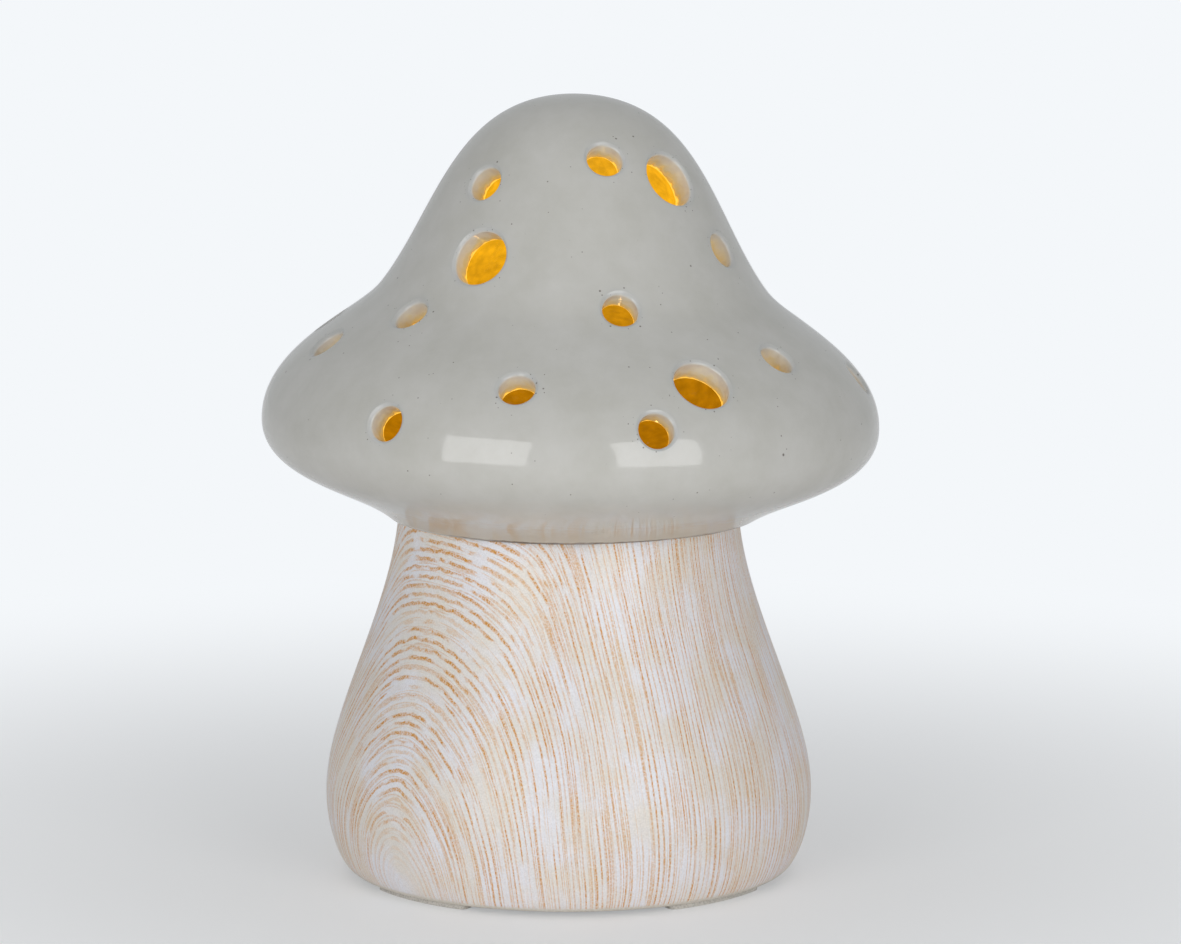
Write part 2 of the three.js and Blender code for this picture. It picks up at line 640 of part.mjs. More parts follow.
// A closed tube through a list of points, with the section carried along without twist.
function sweep(path, section) {
  const count = section.length;
  const positions = [];
  const tangents = path.map((_, i) => {
    const from = path[Math.max(i - 1, 0)];
    const to = path[Math.min(i + 1, path.length - 1)];
    return to.clone().sub(from).normalize();
  });
  let across = new THREE.Vector3(0, 0, 1).cross(tangents[0]);
  if (across.length() < 0.1) across = new THREE.Vector3(0, 1, 0).cross(tangents[0]);
  path.forEach((point, i) => {
    across.sub(tangents[i].clone().multiplyScalar(across.dot(tangents[i]))).normalize();
    const up = tangents[i].clone().cross(across);
    section.forEach(({ x, y }) => {
      const corner = point.clone().addScaledVector(across, x).addScaledVector(up, y);
      positions.push(...corner.toArray());
    });
  });
  const index = [];
  for (let i = 0; i < path.length - 1; i += 1) {
    for (let k = 0; k < count; k += 1) {
      const a = i * count + k;
      const b = i * count + ((k + 1) % count);
      index.push(a, b, b + count, a, b + count, a + count);
    }
  }
  const end = (path.length - 1) * count;
  for (let k = 1; k < count - 1; k += 1) {
    index.push(0, k + 1, k);
    index.push(end, end + k, end + k + 1);
  }
  const geometry = new THREE.BufferGeometry();
  geometry.setAttribute("position", new THREE.Float32BufferAttribute(positions, 3));
  geometry.setIndex(index);
  return geometry;
}

// A soldered wire through a few points, rounded at its bends.
function wire(points) {
  const route = new THREE.CatmullRomCurve3(
    points.map(([x, y, z]) => new THREE.Vector3(x, y, z)),
    false,
    "catmullrom",
    0.4,
  );
  const shape = new THREE.Shape().absarc(0, 0, WIRE_RADIUS, 0, 2 * Math.PI);
  return new THREE.ExtrudeGeometry(shape, { steps: WIRE_STEPS, curveSegments: 4, extrudePath: route });
}

// From an end contact's tab, over the bay's ceiling and down to the board.
function batteryWire(y, landX) {
  const tabX = -plateX + WIRE_RADIUS + SEAT;
  return wire([
    [tabX, y, wireZ],
    [tabX + 3, y, wireZ],
    [(tabX + landX) / 2, (y - bayOuterY) / 2 + 2, wireZ],
    [landX, -bayOuterY - 2, wireZ - 1],
    [landX, boardY + BOARD_WIDTH / 4, boardTopZ + 3],
    [landX, boardY + BOARD_WIDTH / 4, boardTopZ + SEAT],
  ]);
}

// From the board, over the bay's ceiling and up the turret to the lamp.
function lampWire(x, landX) {
  return wire([
    [landX, boardY + BOARD_WIDTH / 4, boardTopZ + SEAT],
    [landX, boardY + BOARD_WIDTH / 4, boardTopZ + 3],
    [landX, -bayOuterY - 2, wireZ - 1],
    [(landX + x) / 2, -bayOuterY + 4, wireZ],
    [x, -3, wireZ + 0.2],
    [x, 0, coverTopZ],
    [x, 0, turretTopZ - SEAT],
  ]);
}

function circuitBoard() {
  const halfX = BOARD_LENGTH / 2;
  const halfY = BOARD_WIDTH / 2;
  return block([-halfX, boardY - halfY, boardZ], [halfX, boardY + halfY, boardTopZ]);
}

// A part that stands on the board at a place given from the board's middle.
function onBoard([length, width, height], x, y) {
  const low = [x - length / 2, boardY + y - width / 2, boardTopZ];
  return block(low, [x + length / 2, boardY + y + width / 2, boardTopZ + height]);
}

function timerCrystal() {
  const can = rod(CRYSTAL_RADIUS, 0, CRYSTAL_LENGTH, 0, 0, 12).rotateY(Math.PI / 2);
  const x = BOARD_LENGTH / 2 - CRYSTAL_INSET - CRYSTAL_LENGTH;
  return can.translate(x, boardY + BOARD_WIDTH / 4, boardTopZ + CRYSTAL_RADIUS + FIT / 2);
}

// The switch case is a tray, open towards the board, with a slot for the slider.
function switchBody() {
  const halfX = SWITCH_LENGTH / 2;
  const halfY = SWITCH_WIDTH / 2;
  const shell = block([-halfX, boardY - halfY, floorTopZ], [halfX, boardY + halfY, boardZ]);
  const inX = halfX - SWITCH_WALL;
  const inY = halfY - SWITCH_WALL;
  const inside = block(
    [-inX, boardY - inY, floorTopZ + SWITCH_WALL],
    [inX, boardY + inY, boardZ + OVERSHOOT],
  );
  const slotHalfX = (SWITCH_TRAVEL + SLIDER_LENGTH) / 2 + FIT;
  const slotHalfY = SLIDER_WIDTH / 2 + FIT;
  const slot = block(
    [-slotHalfX, boardY - slotHalfY, floorTopZ - OVERSHOOT],
    [slotHalfX, boardY + slotHalfY, boardZ],
  );
  return cut(shell, inside, slot);
}

// The slider rests at its on position, at the -X end of its travel.
function switchSlider() {
  const x = -SWITCH_TRAVEL / 2;
  const knobX = SLIDER_LENGTH / 2;
  const knobY = SLIDER_WIDTH / 2;
  const seatZ = floorTopZ + SWITCH_WALL + FIT;
  const knob = block(
    [x - knobX, boardY - knobY, flangeZ - SLIDER_PROUD],
    [x + knobX, boardY + knobY, seatZ + FIT],
  );
  const halfLength = Math.min(CARRIAGE_LENGTH, SWITCH_LENGTH - 2 * SWITCH_WALL - SWITCH_TRAVEL) / 2;
  const halfWidth = SWITCH_WIDTH / 2 - SWITCH_WALL - FIT;
  const carriage = block(
    [x - halfLength + FIT, boardY - halfWidth, seatZ],
    [x + halfLength - FIT, boardY + halfWidth, seatZ + CARRIAGE_HEIGHT],
  );
  return join(knob, carriage);
}

// A round-topped lamp that stands on the turret by its flange.
function ledLamp() {
  const domeZ = turretTopZ + LAMP_HEIGHT - LAMP_RADIUS;
  const dome = Array.from({ length: 6 }, (_, i) => {
    const angle = (i * Math.PI) / 10;
    return [LAMP_RADIUS * Math.cos(angle), domeZ + LAMP_RADIUS * Math.sin(angle)];
  });
  dome[dome.length - 1][0] = 0;
  const flange = [LAMP_FLANGE_RADIUS, turretTopZ + LAMP_FLANGE_HEIGHT];
  const start = [[0, turretTopZ], [LAMP_FLANGE_RADIUS, turretTopZ], flange];
  return turned([...start, [LAMP_RADIUS, flange[1]], ...dome], SMALL_SEGMENTS);
}

const finish = (color, roughness, metalness = 0) => {
  return new THREE.MeshStandardMaterial({ color, roughness, metalness });
};
const glaze = finish(0xd9dccf, 0.12);
const printedCeramic = finish(0xe0d2b4, 0.55);
const bond = finish(0x4a4038, 0.7);
const foam = finish(0x3a3a3c, 0.95);
const whitePlastic = finish(0xe9e7e0, 0.45);
const steel = finish(0xb9b9b6, 0.35, 1);
const nickel = finish(0xc9c6bd, 0.3, 1);
const cellJacket = finish(0x6f7a80, 0.4);
const board = finish(0x2f6b3c, 0.5);
const blackPlastic = finish(0x1d1d1f, 0.5);
const lampEpoxy = finish(0xf3c46b, 0.2);
const redSheath = finish(0xb3261e, 0.5);
const blackSheath = finish(0x202022, 0.5);

const light = new THREE.Group();
function add(name, geometry, material) {
  geometry.computeVertexNormals();
  const mesh = new THREE.Mesh(geometry, material);
  mesh.name = name;
  light.add(mesh);
}

add("cap_shell", capShell(), glaze);
add("bond_ring", bondRing(), bond);
add("stem_shell", stemShell(), printedCeramic);
for (let i = 0; i < PAD_COUNT; i += 1) add(`foot_pad_${i + 1}`, footPad(i), foam);

add("module_housing", moduleHousing(), whitePlastic);
add("module_gasket", moduleGasket(), foam);
add("module_cover", moduleCover(), whitePlastic);
coverScrewPlaces().forEach((place, i) => add(`cover_screw_${i + 1}`, coverScrew(place), steel));
add("battery_door", batteryDoor(), whitePlastic);
add("door_screw", doorScrew(), steel);

add("battery_1", cell(-1), cellJacket);
add("battery_2", cell(1), cellJacket);
add("positive_contact", join(endContact(cellY), dimple(-1, cellY)), nickel);
add("negative_contact", endContact(-cellY), nickel);
add("bridge_contact", join(bridgeContact(), dimple(1, -cellY)), nickel);
add("bridge_spring", coilSpring(1), nickel);
add("negative_spring", coilSpring(-1), nickel);

add("circuit_board", circuitBoard(), board);
add("timer_chip", onBoard(CHIP, BOARD_LENGTH / 4, -BOARD_WIDTH / 5), blackPlastic);
add("resistor", onBoard(RESISTOR, -BOARD_LENGTH / 4, -BOARD_WIDTH / 4), blackPlastic);
add("timer_crystal", timerCrystal(), nickel);
add("switch_body", switchBody(), steel);
add("switch_slider", switchSlider(), blackPlastic);

add("led_lamp", ledLamp(), lampEpoxy);
add("lamp_wire_red", lampWire(-LEAD_SPACING / 2, LAMP_LANDINGS[0]), redSheath);
add("lamp_wire_black", lampWire(LEAD_SPACING / 2, LAMP_LANDINGS[1]), blackSheath);
add("battery_wire_red", batteryWire(cellY, BATTERY_LANDINGS[0]), redSheath);
add("battery_wire_black", batteryWire(-cellY, BATTERY_LANDINGS[1]), blackSheath);

export default light;
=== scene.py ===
# %% [markdown]
# # A mushroom light
# The light is a glazed ceramic cap on a ceramic stem with a printed wood grain. A battery
# module with an amber lamp sits in the foot, and its light comes out of the holes in the cap.
# The CAD model gives every place and size. This lesson dresses it: it models the pieces that
# show again, finer than the CAD solids, and gives each piece a finish made of shader nodes.

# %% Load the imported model
import math

import bpy
import numpy as np
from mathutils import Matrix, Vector
from mathutils.bvhtree import BVHTree


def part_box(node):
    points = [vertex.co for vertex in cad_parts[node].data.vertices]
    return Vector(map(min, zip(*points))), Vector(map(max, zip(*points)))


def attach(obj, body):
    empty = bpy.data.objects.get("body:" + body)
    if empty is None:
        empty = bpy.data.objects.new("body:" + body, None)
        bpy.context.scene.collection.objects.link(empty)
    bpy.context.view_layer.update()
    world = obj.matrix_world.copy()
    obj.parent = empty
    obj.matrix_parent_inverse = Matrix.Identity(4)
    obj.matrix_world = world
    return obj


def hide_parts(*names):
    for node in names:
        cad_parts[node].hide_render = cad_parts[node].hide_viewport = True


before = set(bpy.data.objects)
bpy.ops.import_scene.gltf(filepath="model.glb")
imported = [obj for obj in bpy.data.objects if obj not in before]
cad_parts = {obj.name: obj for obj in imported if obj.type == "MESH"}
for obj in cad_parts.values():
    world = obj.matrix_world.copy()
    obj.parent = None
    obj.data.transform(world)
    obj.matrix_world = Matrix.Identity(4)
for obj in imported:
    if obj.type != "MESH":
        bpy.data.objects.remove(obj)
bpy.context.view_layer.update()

MM = 0.001

# %% [markdown]
# ## Small helpers
# An operator works on whatever is selected, and loading the model leaves all of it selected.
# So each step first clears the selection, and then picks its own object, faces or edges.

# %% Selection and modelling helpers
def pick(*objects):
    """Only these objects are selected, and the first of them is active."""
    if bpy.context.object and bpy.context.object.mode != "OBJECT":
        bpy.ops.object.mode_set(mode="OBJECT")
    bpy.ops.object.select_all(action="DESELECT")
    for thing in objects:
        thing.select_set(True)
    if objects:
        bpy.context.view_layer.objects.active = objects[0]


def named(name):
    """Names the active object and its mesh."""
    piece = bpy.context.object
    piece.name = name
    piece.data.name = name
    return piece


def edit(piece, *steps):
    """Runs edit mode operators, each a call without arguments, on the whole mesh."""
    pick(piece)
    bpy.ops.object.mode_set(mode="EDIT")
    bpy.ops.mesh.select_all(action="SELECT")
    for step in steps:
        step()
    bpy.ops.object.mode_set(mode="OBJECT")


def choose(piece, kind, test, *steps):
    """Runs edit mode operators on only those points, edges or faces that pass a test."""
    edit(
        piece,
        lambda: bpy.ops.mesh.select_mode(type=kind),
        lambda: bpy.ops.mesh.select_all(action="DESELECT"),
    )
    mesh = piece.data
    for part in {"VERT": mesh.vertices, "EDGE": mesh.edges, "FACE": mesh.polygons}[kind]:
        part.select = test(part)
    bpy.ops.object.mode_set(mode="EDIT")
    for step in steps:
        step()
    bpy.ops.object.mode_set(mode="OBJECT")


def settle(piece):
    """Turns and scales go into the mesh, so that the object sits at the origin."""
    pick(piece)
    bpy.ops.object.transform_apply(location=True, rotation=True, scale=True)


def add_modifier(piece, kind, **settings):
    """Adds a modifier with its settings and applies it."""
    pick(piece)
    modifier = piece.modifiers.new(kind.title(), kind)
    for name, value in settings.items():
        setattr(modifier, name, value)
    bpy.ops.object.modifier_apply(modifier=modifier.name)


def count_triangles(piece):
    return sum(len(face.vertices) - 2 for face in piece.data.polygons)


# %% [markdown]
# ## Colours and nodes
# Colours are written as sRGB hex values, as a paint chart or a photo gives them. Shaders want
# linear light, so one function turns them. A second one adds a node, sets it and links it, and
# a third leads the finished patterns into the shader.

# %% Colour and node helpers
def linear(colour):
    """An sRGB hex colour as linear RGBA."""
    parts = [int(colour[i:i + 2], 16) / 255 for i in (1, 3, 5)]
    light = [p / 12.92 if p <= 0.04045 else ((p + 0.055) / 1.055) ** 2.4 for p in parts]
    return (*light, 1.0)


def add_node(tree, kind, inputs=(), stops=(), **settings):
    """Adds a shader node with its settings and its inputs, in order or by name.

    Each input is a value, a socket to link to, or a node whose first output is meant. Stops
    are the positions and hex colours of a colour ramp.
    """
    node = tree.nodes.new("ShaderNode" + kind)
    for name, value in settings.items():
        setattr(node, name, value)
    pairs = inputs.items() if isinstance(inputs, dict) else enumerate(inputs)
    for name, value in pairs:
        if isinstance(value, bpy.types.Node):
            value = value.outputs[0]
        if isinstance(value, bpy.types.NodeSocket):
            tree.links.new(value, node.inputs[name])
        else:
            node.inputs[name].default_value = value
    for index, (position, colour) in enumerate(stops):
        elements = node.color_ramp.elements
        element = elements[index] if index < 2 else elements.new(position)
        element.position = position
        element.color = linear(colour)
    return node


def start_material(name, colour, roughness, **constants):
    """A Principled material, and what its patterns need: the node tree, shader and place."""
    material = bpy.data.materials.new(name)
    material.use_nodes = True
    tree = material.node_tree
    shader = tree.nodes["Principled BSDF"]
    shader.inputs["Base Color"].default_value = linear(colour)
    shader.inputs["Roughness"].default_value = roughness
    for key, value in constants.items():
        shader.inputs[key.replace("_", " ")].default_value = value
    place = add_node(tree, "TexCoord").outputs["Object"]
    return material, tree, shader, place


def feed(shader, **sources):
    """Links the first output of each node to the shader's input of that name."""
    for name, source in sources.items():
        socket = shader.inputs[name.replace("_", " ")]
        shader.id_data.links.new(source.outputs[0], socket)


# %% [markdown]
# ## Camera
# The picture was taken with a long lens, about 1 m away and 9 degrees above level. A long lens
# flattens the shape, so the distance matters as much as the direction.

# %% Camera
PICTURE_WIDTH_PX = 1181
FOCAL_LENGTH_PX = 5500
CAMERA_DISTANCE = 1.0
CAMERA_ELEVATION = math.radians(9.15)
CAMERA_TARGET = Vector((3.99, 0, 73.37)) * MM

back = Vector((0, -math.cos(CAMERA_ELEVATION), math.sin(CAMERA_ELEVATION)))
bpy.ops.object.camera_add(location=CAMERA_TARGET + back * CAMERA_DISTANCE)
camera = bpy.context.object
camera.rotation_euler = (-back).to_track_quat("-Z", "Y").to_euler()
camera.data.sensor_width = 36
camera.data.lens = FOCAL_LENGTH_PX / PICTURE_WIDTH_PX * camera.data.sensor_width
bpy.context.scene.camera = camera
print("lens, mm:", round(camera.data.lens, 1))

# %% [markdown]
# ## Studio
# Two softboxes stand close in front, left and right of the camera. They are the main light, and
# a glossy glaze shows each of them as a bright pane low on the cap. A wide lamp overhead and a
# pale sky fill the shadows.

# %% Softboxes and top lamp
SOFTBOX_DISTANCE = 0.8
SOFTBOX_WIDTH = 0.478
SOFTBOX_HEIGHT = 0.582
SOFTBOX_POWER = 2.5
SOFTBOX_RISE = math.radians(9.5)
SOFTBOX_TURNS = [-31, 33]
SOFTBOX_AIM = Vector((0, -0.025, 0.085))
SOFTBOX_AIM_REACH = 0.03
TOP_LAMP_DISTANCE = 0.9
TOP_LAMP_SIZE = 0.9
TOP_LAMP_POWER = 1.5


def area_lamp(name, direction, target, distance, width, height, power):
    """A rectangular lamp that looks at the target from a direction."""
    bpy.ops.object.light_add(type="AREA", location=target + direction * distance)
    lamp = bpy.context.object
    lamp.name = name
    lamp.rotation_euler = (-direction).to_track_quat("-Z", "Y").to_euler()
    lamp.data.shape = "RECTANGLE"
    lamp.data.size = width
    lamp.data.size_y = height
    lamp.data.energy = power
    lamp.visible_camera = False
    return lamp


for turn in SOFTBOX_TURNS:
    angle = math.radians(turn)
    level = Vector((math.sin(angle), -math.cos(angle), 0))
    direction = level * math.cos(SOFTBOX_RISE) + Vector((0, 0, math.sin(SOFTBOX_RISE)))
    area_lamp("softbox", direction, level * SOFTBOX_AIM_REACH + SOFTBOX_AIM, SOFTBOX_DISTANCE,
              SOFTBOX_WIDTH, SOFTBOX_HEIGHT, SOFTBOX_POWER)
top_lamp = area_lamp("top_lamp", Vector((0, 0.25, 1)).normalized(), Vector((0, 0, 0.07)),
                     TOP_LAMP_DISTANCE, TOP_LAMP_SIZE, TOP_LAMP_SIZE, TOP_LAMP_POWER)
top_lamp.visible_glossy = False

# %% [markdown]
# The sky is white to the camera and through glass, dimmer in reflections, and dimmer still as
# light. So colours come out about as they are written, and the glaze's edges, which mirror the
# sky, don't turn paler than its middle. The floor uses the same share.

# %% Sky
SKY_COLOUR = "#F4F7FA"
SKY_LIGHT = 0.26
SKY_SHEEN = 0.45


def background_share(tree):
    """How much of the white background a ray meets: all, the sheen's share, or none."""
    rays = add_node(tree, "LightPath").outputs
    mirrored = add_node(tree, "Math", [rays["Is Glossy Ray"], SKY_SHEEN], operation="MULTIPLY")
    seen = add_node(tree, "Math", [rays["Is Camera Ray"], mirrored], operation="MAXIMUM")
    return add_node(tree, "Math", [seen, rays["Is Transmission Ray"]], operation="MAXIMUM")


world = bpy.data.worlds.new("studio_sky")
bpy.context.scene.world = world
world.use_nodes = True
sky = world.node_tree
strength = add_node(sky, "MapRange", [background_share(sky), 0.0, 1.0, SKY_LIGHT, 1.0])
sky.nodes["Background"].inputs["Color"].default_value = linear(SKY_COLOUR)
feed(sky.nodes["Background"], Strength=strength)
bpy.context.scene.view_settings.view_transform = "Standard"
print("sky:", len(sky.nodes), "nodes")

# %% [markdown]
# The floor is a wide pale disc. Close to the light it is lit for the most part like any surface,
# so it keeps the light's shadow. Further out it fades into the white of the sky, and no horizon
# shows.

# %% Floor
FLOOR_RADIUS = 4.0
FADE_START = 0.05
FADE_END = 0.3
FADE_LEAST = 0.35

pick()
bpy.ops.mesh.primitive_circle_add(vertices=96, radius=FLOOR_RADIUS, fill_type="NGON")
floor = named("floor")
paint, tree, shader, place = start_material("pale_studio_floor", "#FBFAF9", 0.6)
distance = add_node(tree, "VectorMath", [place], operation="LENGTH").outputs["Value"]
fade = add_node(tree, "MapRange", [distance, FADE_START, FADE_END, FADE_LEAST],
                interpolation_type="SMOOTHSTEP")
share = add_node(tree, "Math", [fade, background_share(tree)], operation="MULTIPLY")
glow = add_node(tree, "Emission", [linear(SKY_COLOUR)])
blend = add_node(tree, "MixShader", [share, shader.outputs["BSDF"], glow])
feed(tree.nodes["Material Output"], Surface=blend)
floor.data.materials.append(paint)
print("floor, m across:", 2 * FLOOR_RADIUS)

# %% [markdown]
# ## Outlines
# Stem and cap were both turned on a wheel or cast from a turned model, so one outline says all.
# Each stretch of an outline is a curve between two points. It leaves the first and arrives at
# the second at a given angle, and the reach says how long it holds that angle.

# %% Outline curves
# Points closer than this, in mm, are one point.
WELD = 0.002
FINE_STEPS = 200
SORT_SPOT = (0.0312, 0.0571, 0.0923)


def stretch(start, start_angle, start_reach, end, end_angle, end_reach):
    """The four points of a cubic curve, in mm."""
    start, end = Vector(start), Vector(end)
    span = (end - start).length

    def along(angle, reach):
        angle = math.radians(angle)
        return Vector((math.cos(angle), math.sin(angle))) * span * reach

    return start, start + along(start_angle, start_reach), end - along(end_angle, end_reach), end


def curve_point(curve, t):
    a, b, c, d = curve
    s = 1 - t
    return a * s ** 3 + 3 * b * s * s * t + 3 * c * s * t * t + d * t ** 3


def even_outline(curves, count, wall=0):
    """Evenly spaced points along the curves, set back by a wall. Each is (radius, height)."""
    fine = [curve_point(curve, i / FINE_STEPS) for curve in curves for i in range(FINE_STEPS)]
    fine.append(curves[-1][3])
    travelled = [0]
    for a, b in zip(fine, fine[1:]):
        travelled.append(travelled[-1] + (b - a).length)
    points = []
    index = 0
    for step in range(count + 1):
        goal = travelled[-1] * step / count
        while index < len(fine) - 2 and travelled[index + 1] < goal:
            index += 1
        part = (goal - travelled[index]) / (travelled[index + 1] - travelled[index])
        spot = fine[index].lerp(fine[index + 1], part)
        tangent = (fine[index + 1] - fine[index]).normalized()
        points.append((max(spot.x - tangent.y * wall, 0), spot.y + tangent.x * wall))
    return points


def sort_faces():
    """Puts edges and faces in order of their distance from a spot with no symmetry.

    Spin and extrude leave them in an order of chance, and booleans and bevels follow it. The
    cursor goes back to the origin, because new primitives are added there.
    """
    bpy.context.scene.cursor.location = SORT_SPOT
    bpy.ops.mesh.sort_elements(type="CURSOR_DISTANCE", elements={"EDGE", "FACE"})
    bpy.context.scene.cursor.location = (0, 0, 0)


def lathe(name, profile, steps, closed):
    """Turns a line of (radius, height) points in mm about the Z axis."""
    pick()
    bpy.ops.mesh.primitive_circle_add(vertices=len(profile), fill_type="NOTHING")
    piece = named(name)
    for vertex, (radius, height) in zip(piece.data.vertices, profile):
        vertex.co = (radius * MM, 0, height * MM)
    if not closed:
        ends = {0, len(profile) - 1}
        choose(piece, "EDGE", lambda edge: set(edge.vertices) == ends,
               lambda: bpy.ops.mesh.delete(type="EDGE_FACE"))
    edit(
        piece,
        lambda: bpy.ops.mesh.spin(steps=steps, angle=math.tau, center=(0, 0, 0), axis=(0, 0, 1)),
        lambda: bpy.ops.mesh.select_all(action="SELECT"),
        lambda: bpy.ops.mesh.remove_doubles(threshold=WELD * MM),
        lambda: bpy.ops.mesh.normals_make_consistent(inside=False),
        sort_faces,
    )
    return piece


# %% [markdown]
# ## Cap shell
# The cap is one casting of even wall, glazed all over. It is modelled as a shell of revolution:
# the outline goes up the outside to the top, and back down the inside. It is turned in many
# steps, because a glossy glaze shows every facet.

# %% Cap outline and shell
CAP_FOOT = (33.6, 65.9)
CAP_FOOT_SLOPE = 36
CAP_RIM = (56, 82.8)
CAP_WAIST = (35, 107.3)
CAP_APEX = (0, 142.2)
CAP_WALL = 4.6
CAP_MOUTH_RADIUS = 26.5
CAP_LEAN = math.radians(1.25)
TRIM_DEPTH = 2.8
CAP_OUTSIDE_STEPS = 140
CAP_INSIDE_STEPS = 60
TURNING_STEPS = 192

cap_curves = [
    stretch(CAP_FOOT, CAP_FOOT_SLOPE, 0.36, CAP_RIM, 90, 0.35),
    stretch(CAP_RIM, 90, 0.39, CAP_WAIST, 127, 0.22),
    stretch(CAP_WAIST, 127, 0.34, CAP_APEX, 180, 0.45),
]
outside = even_outline(cap_curves, CAP_OUTSIDE_STEPS)
inside = even_outline(cap_curves, CAP_INSIDE_STEPS, CAP_WALL)
collar_z = CAP_FOOT[1] - TRIM_DEPTH
collar_radius = CAP_FOOT[0] - TRIM_DEPTH / math.tan(math.radians(CAP_FOOT_SLOPE))
collar = [(CAP_MOUTH_RADIUS, collar_z), (collar_radius, collar_z)]
cap = lathe("cap_glazed", inside[::-1] + collar + outside, TURNING_STEPS, closed=False)
print("cap shell:", len(cap.data.polygons), "faces")

# %% [markdown]
# ## Punched holes
# The holes were punched through the soft clay, square to the surface, with two round punches.
# A wet sponge then rounds both edges, and the glaze pools there. A plain boolean would leave
# sharp edges. So each cutter is flared at both ends, and the flare follows the surface: every
# point of it is dropped from the middle of the wall onto the skin along the hole's own axis.

# %% Hole places
SMALL_BORE = 6.4
LARGE_BORE = 10.2
# The turn from the front in degrees, how far down the outline from the top in mm, and the bore.
PUNCHES = [
    (15, 23, SMALL_BORE), (-44, 29, SMALL_BORE), (49, 27.5, LARGE_BORE), (-34, 43, LARGE_BORE),
    (64, 42, SMALL_BORE), (14, 52, SMALL_BORE), (-50, 56, SMALL_BORE), (-71, 67, SMALL_BORE),
    (-11, 71, SMALL_BORE), (28, 70, LARGE_BORE), (53, 66, SMALL_BORE), (-36, 80, SMALL_BORE),
    (16, 79, SMALL_BORE), (83, 75, SMALL_BORE), (104, 28, SMALL_BORE), (101, 55, LARGE_BORE),
    (124, 72, SMALL_BORE), (139, 42, SMALL_BORE), (146, 69, LARGE_BORE), (172, 72, SMALL_BORE),
    (176, 11, LARGE_BORE), (-168, 81, SMALL_BORE), (-160, 45, SMALL_BORE), (-143, 67, LARGE_BORE),
    (-110, 31, SMALL_BORE), (-118, 52, SMALL_BORE), (-112, 78, SMALL_BORE), (-93, 64, SMALL_BORE),
]
OUTER_LIP = 0.8
INNER_LIP = 0.5
LIP_SWEEP = math.radians(76)
LIP_STEPS = 6
HOLE_STEPS = 48
CUTTER_REACH = 4.0
AXIS_STEPS = 2000

fine_outline = even_outline(cap_curves, AXIS_STEPS)
outline_length = sum(math.dist(a, b) for a, b in zip(fine_outline, fine_outline[1:]))
print(len(PUNCHES), "holes; from the crown to the foot, mm:", round(outline_length, 1))


def hole_axis(turn, drop):
    """The place on the outside, in metres, and the direction square to it."""
    index = round(AXIS_STEPS * (1 - drop / outline_length))
    radius, height = fine_outline[index]
    before, after = Vector(fine_outline[index - 1]), Vector(fine_outline[index + 1])
    tangent = (after - before).normalized()
    angle = math.radians(turn)
    sine, cosine = math.sin(angle), math.cos(angle)
    place = Vector((radius * sine, -radius * cosine, height)) * MM
    return place, Vector((tangent.y * sine, -tangent.y * cosine, -tangent.x))


def cutter_rings(bore):
    """Rings of a cutter from inside to outside: radius, side and distance from that skin.

    The two end rings stand clear of the wall, and their distance is negative.
    """
    radius = bore / 2
    angles = [LIP_SWEEP * i / LIP_STEPS for i in range(LIP_STEPS + 1)]
    rings = []
    for lip, side in ((INNER_LIP, -1), (OUTER_LIP, 1)):
        arc = [(radius + lip - lip * math.cos(a), side, lip - lip * math.sin(a)) for a in angles]
        tip = (radius + lip, side, -CUTTER_REACH)
        rings += [tip, *arc[::-1]] if side < 0 else [*arc, tip]
    return rings


def climb(piece, edge):
    """How much higher one end of an edge is than the other."""
    first, second = (piece.data.vertices[index].co.z for index in edge.vertices)
    return abs(first - second)


def punch_cutter(tree, turn, drop, bore):
    """A cylinder cut into rings, each ring laid to its radius and its distance from a skin."""
    place, outward = hole_axis(turn, drop)
    rings = cutter_rings(bore)
    pick()
    bpy.ops.mesh.primitive_cylinder_add(vertices=HOLE_STEPS, radius=1, depth=2)
    cutter = named("punch")
    choose(cutter, "EDGE", lambda edge: climb(cutter, edge) > 1,
           lambda: bpy.ops.mesh.subdivide(number_cuts=len(rings) - 2))

    across = outward.cross(Vector((0, 0, 1))).normalized()
    upward = across.cross(outward)
    middle = place - outward * CAP_WALL / 2 * MM
    for vertex in cutter.data.vertices:
        level = round((vertex.co.z + 1) / 2 * (len(rings) - 1))
        radius, side, gap = rings[level]
        spoke = Vector((vertex.co.x, vertex.co.y)).normalized()
        foot = middle + (across * spoke.x + upward * spoke.y) * radius * MM
        if gap >= 0:
            skin = tree.ray_cast(foot, outward * side)[0]
            vertex.co = skin - outward * side * gap * MM
        else:
            vertex.co = foot + outward * side * (CAP_WALL / 2 - gap) * MM
    return cutter


# %% Punch the holes
shell_tree = BVHTree.FromObject(cap, bpy.context.evaluated_depsgraph_get())
cutters = [punch_cutter(shell_tree, *hole) for hole in PUNCHES]
for cutter in cutters:
    edit(cutter, lambda: bpy.ops.mesh.normals_make_consistent(inside=False))
pick(*cutters)
bpy.ops.object.join()
punches = named("punches")
add_modifier(cap, "BOOLEAN", object=punches, operation="DIFFERENCE", solver="EXACT")
bpy.data.objects.remove(punches)
print("pierced cap:", len(cap.data.polygons), "faces,", count_triangles(cap), "triangles")

# %% [markdown]
# The glaze is told how deep it lies in the wall, and how near a hole is. Both are numbers kept
# on the mesh's points. The finish can then go from cool glaze outside, through painted glow at
# a hole's thin edge, to painted lamplight inside, and gather its dark specks round the holes.

# %% Depth and hole nearness
SPECK_REACH = 3.5
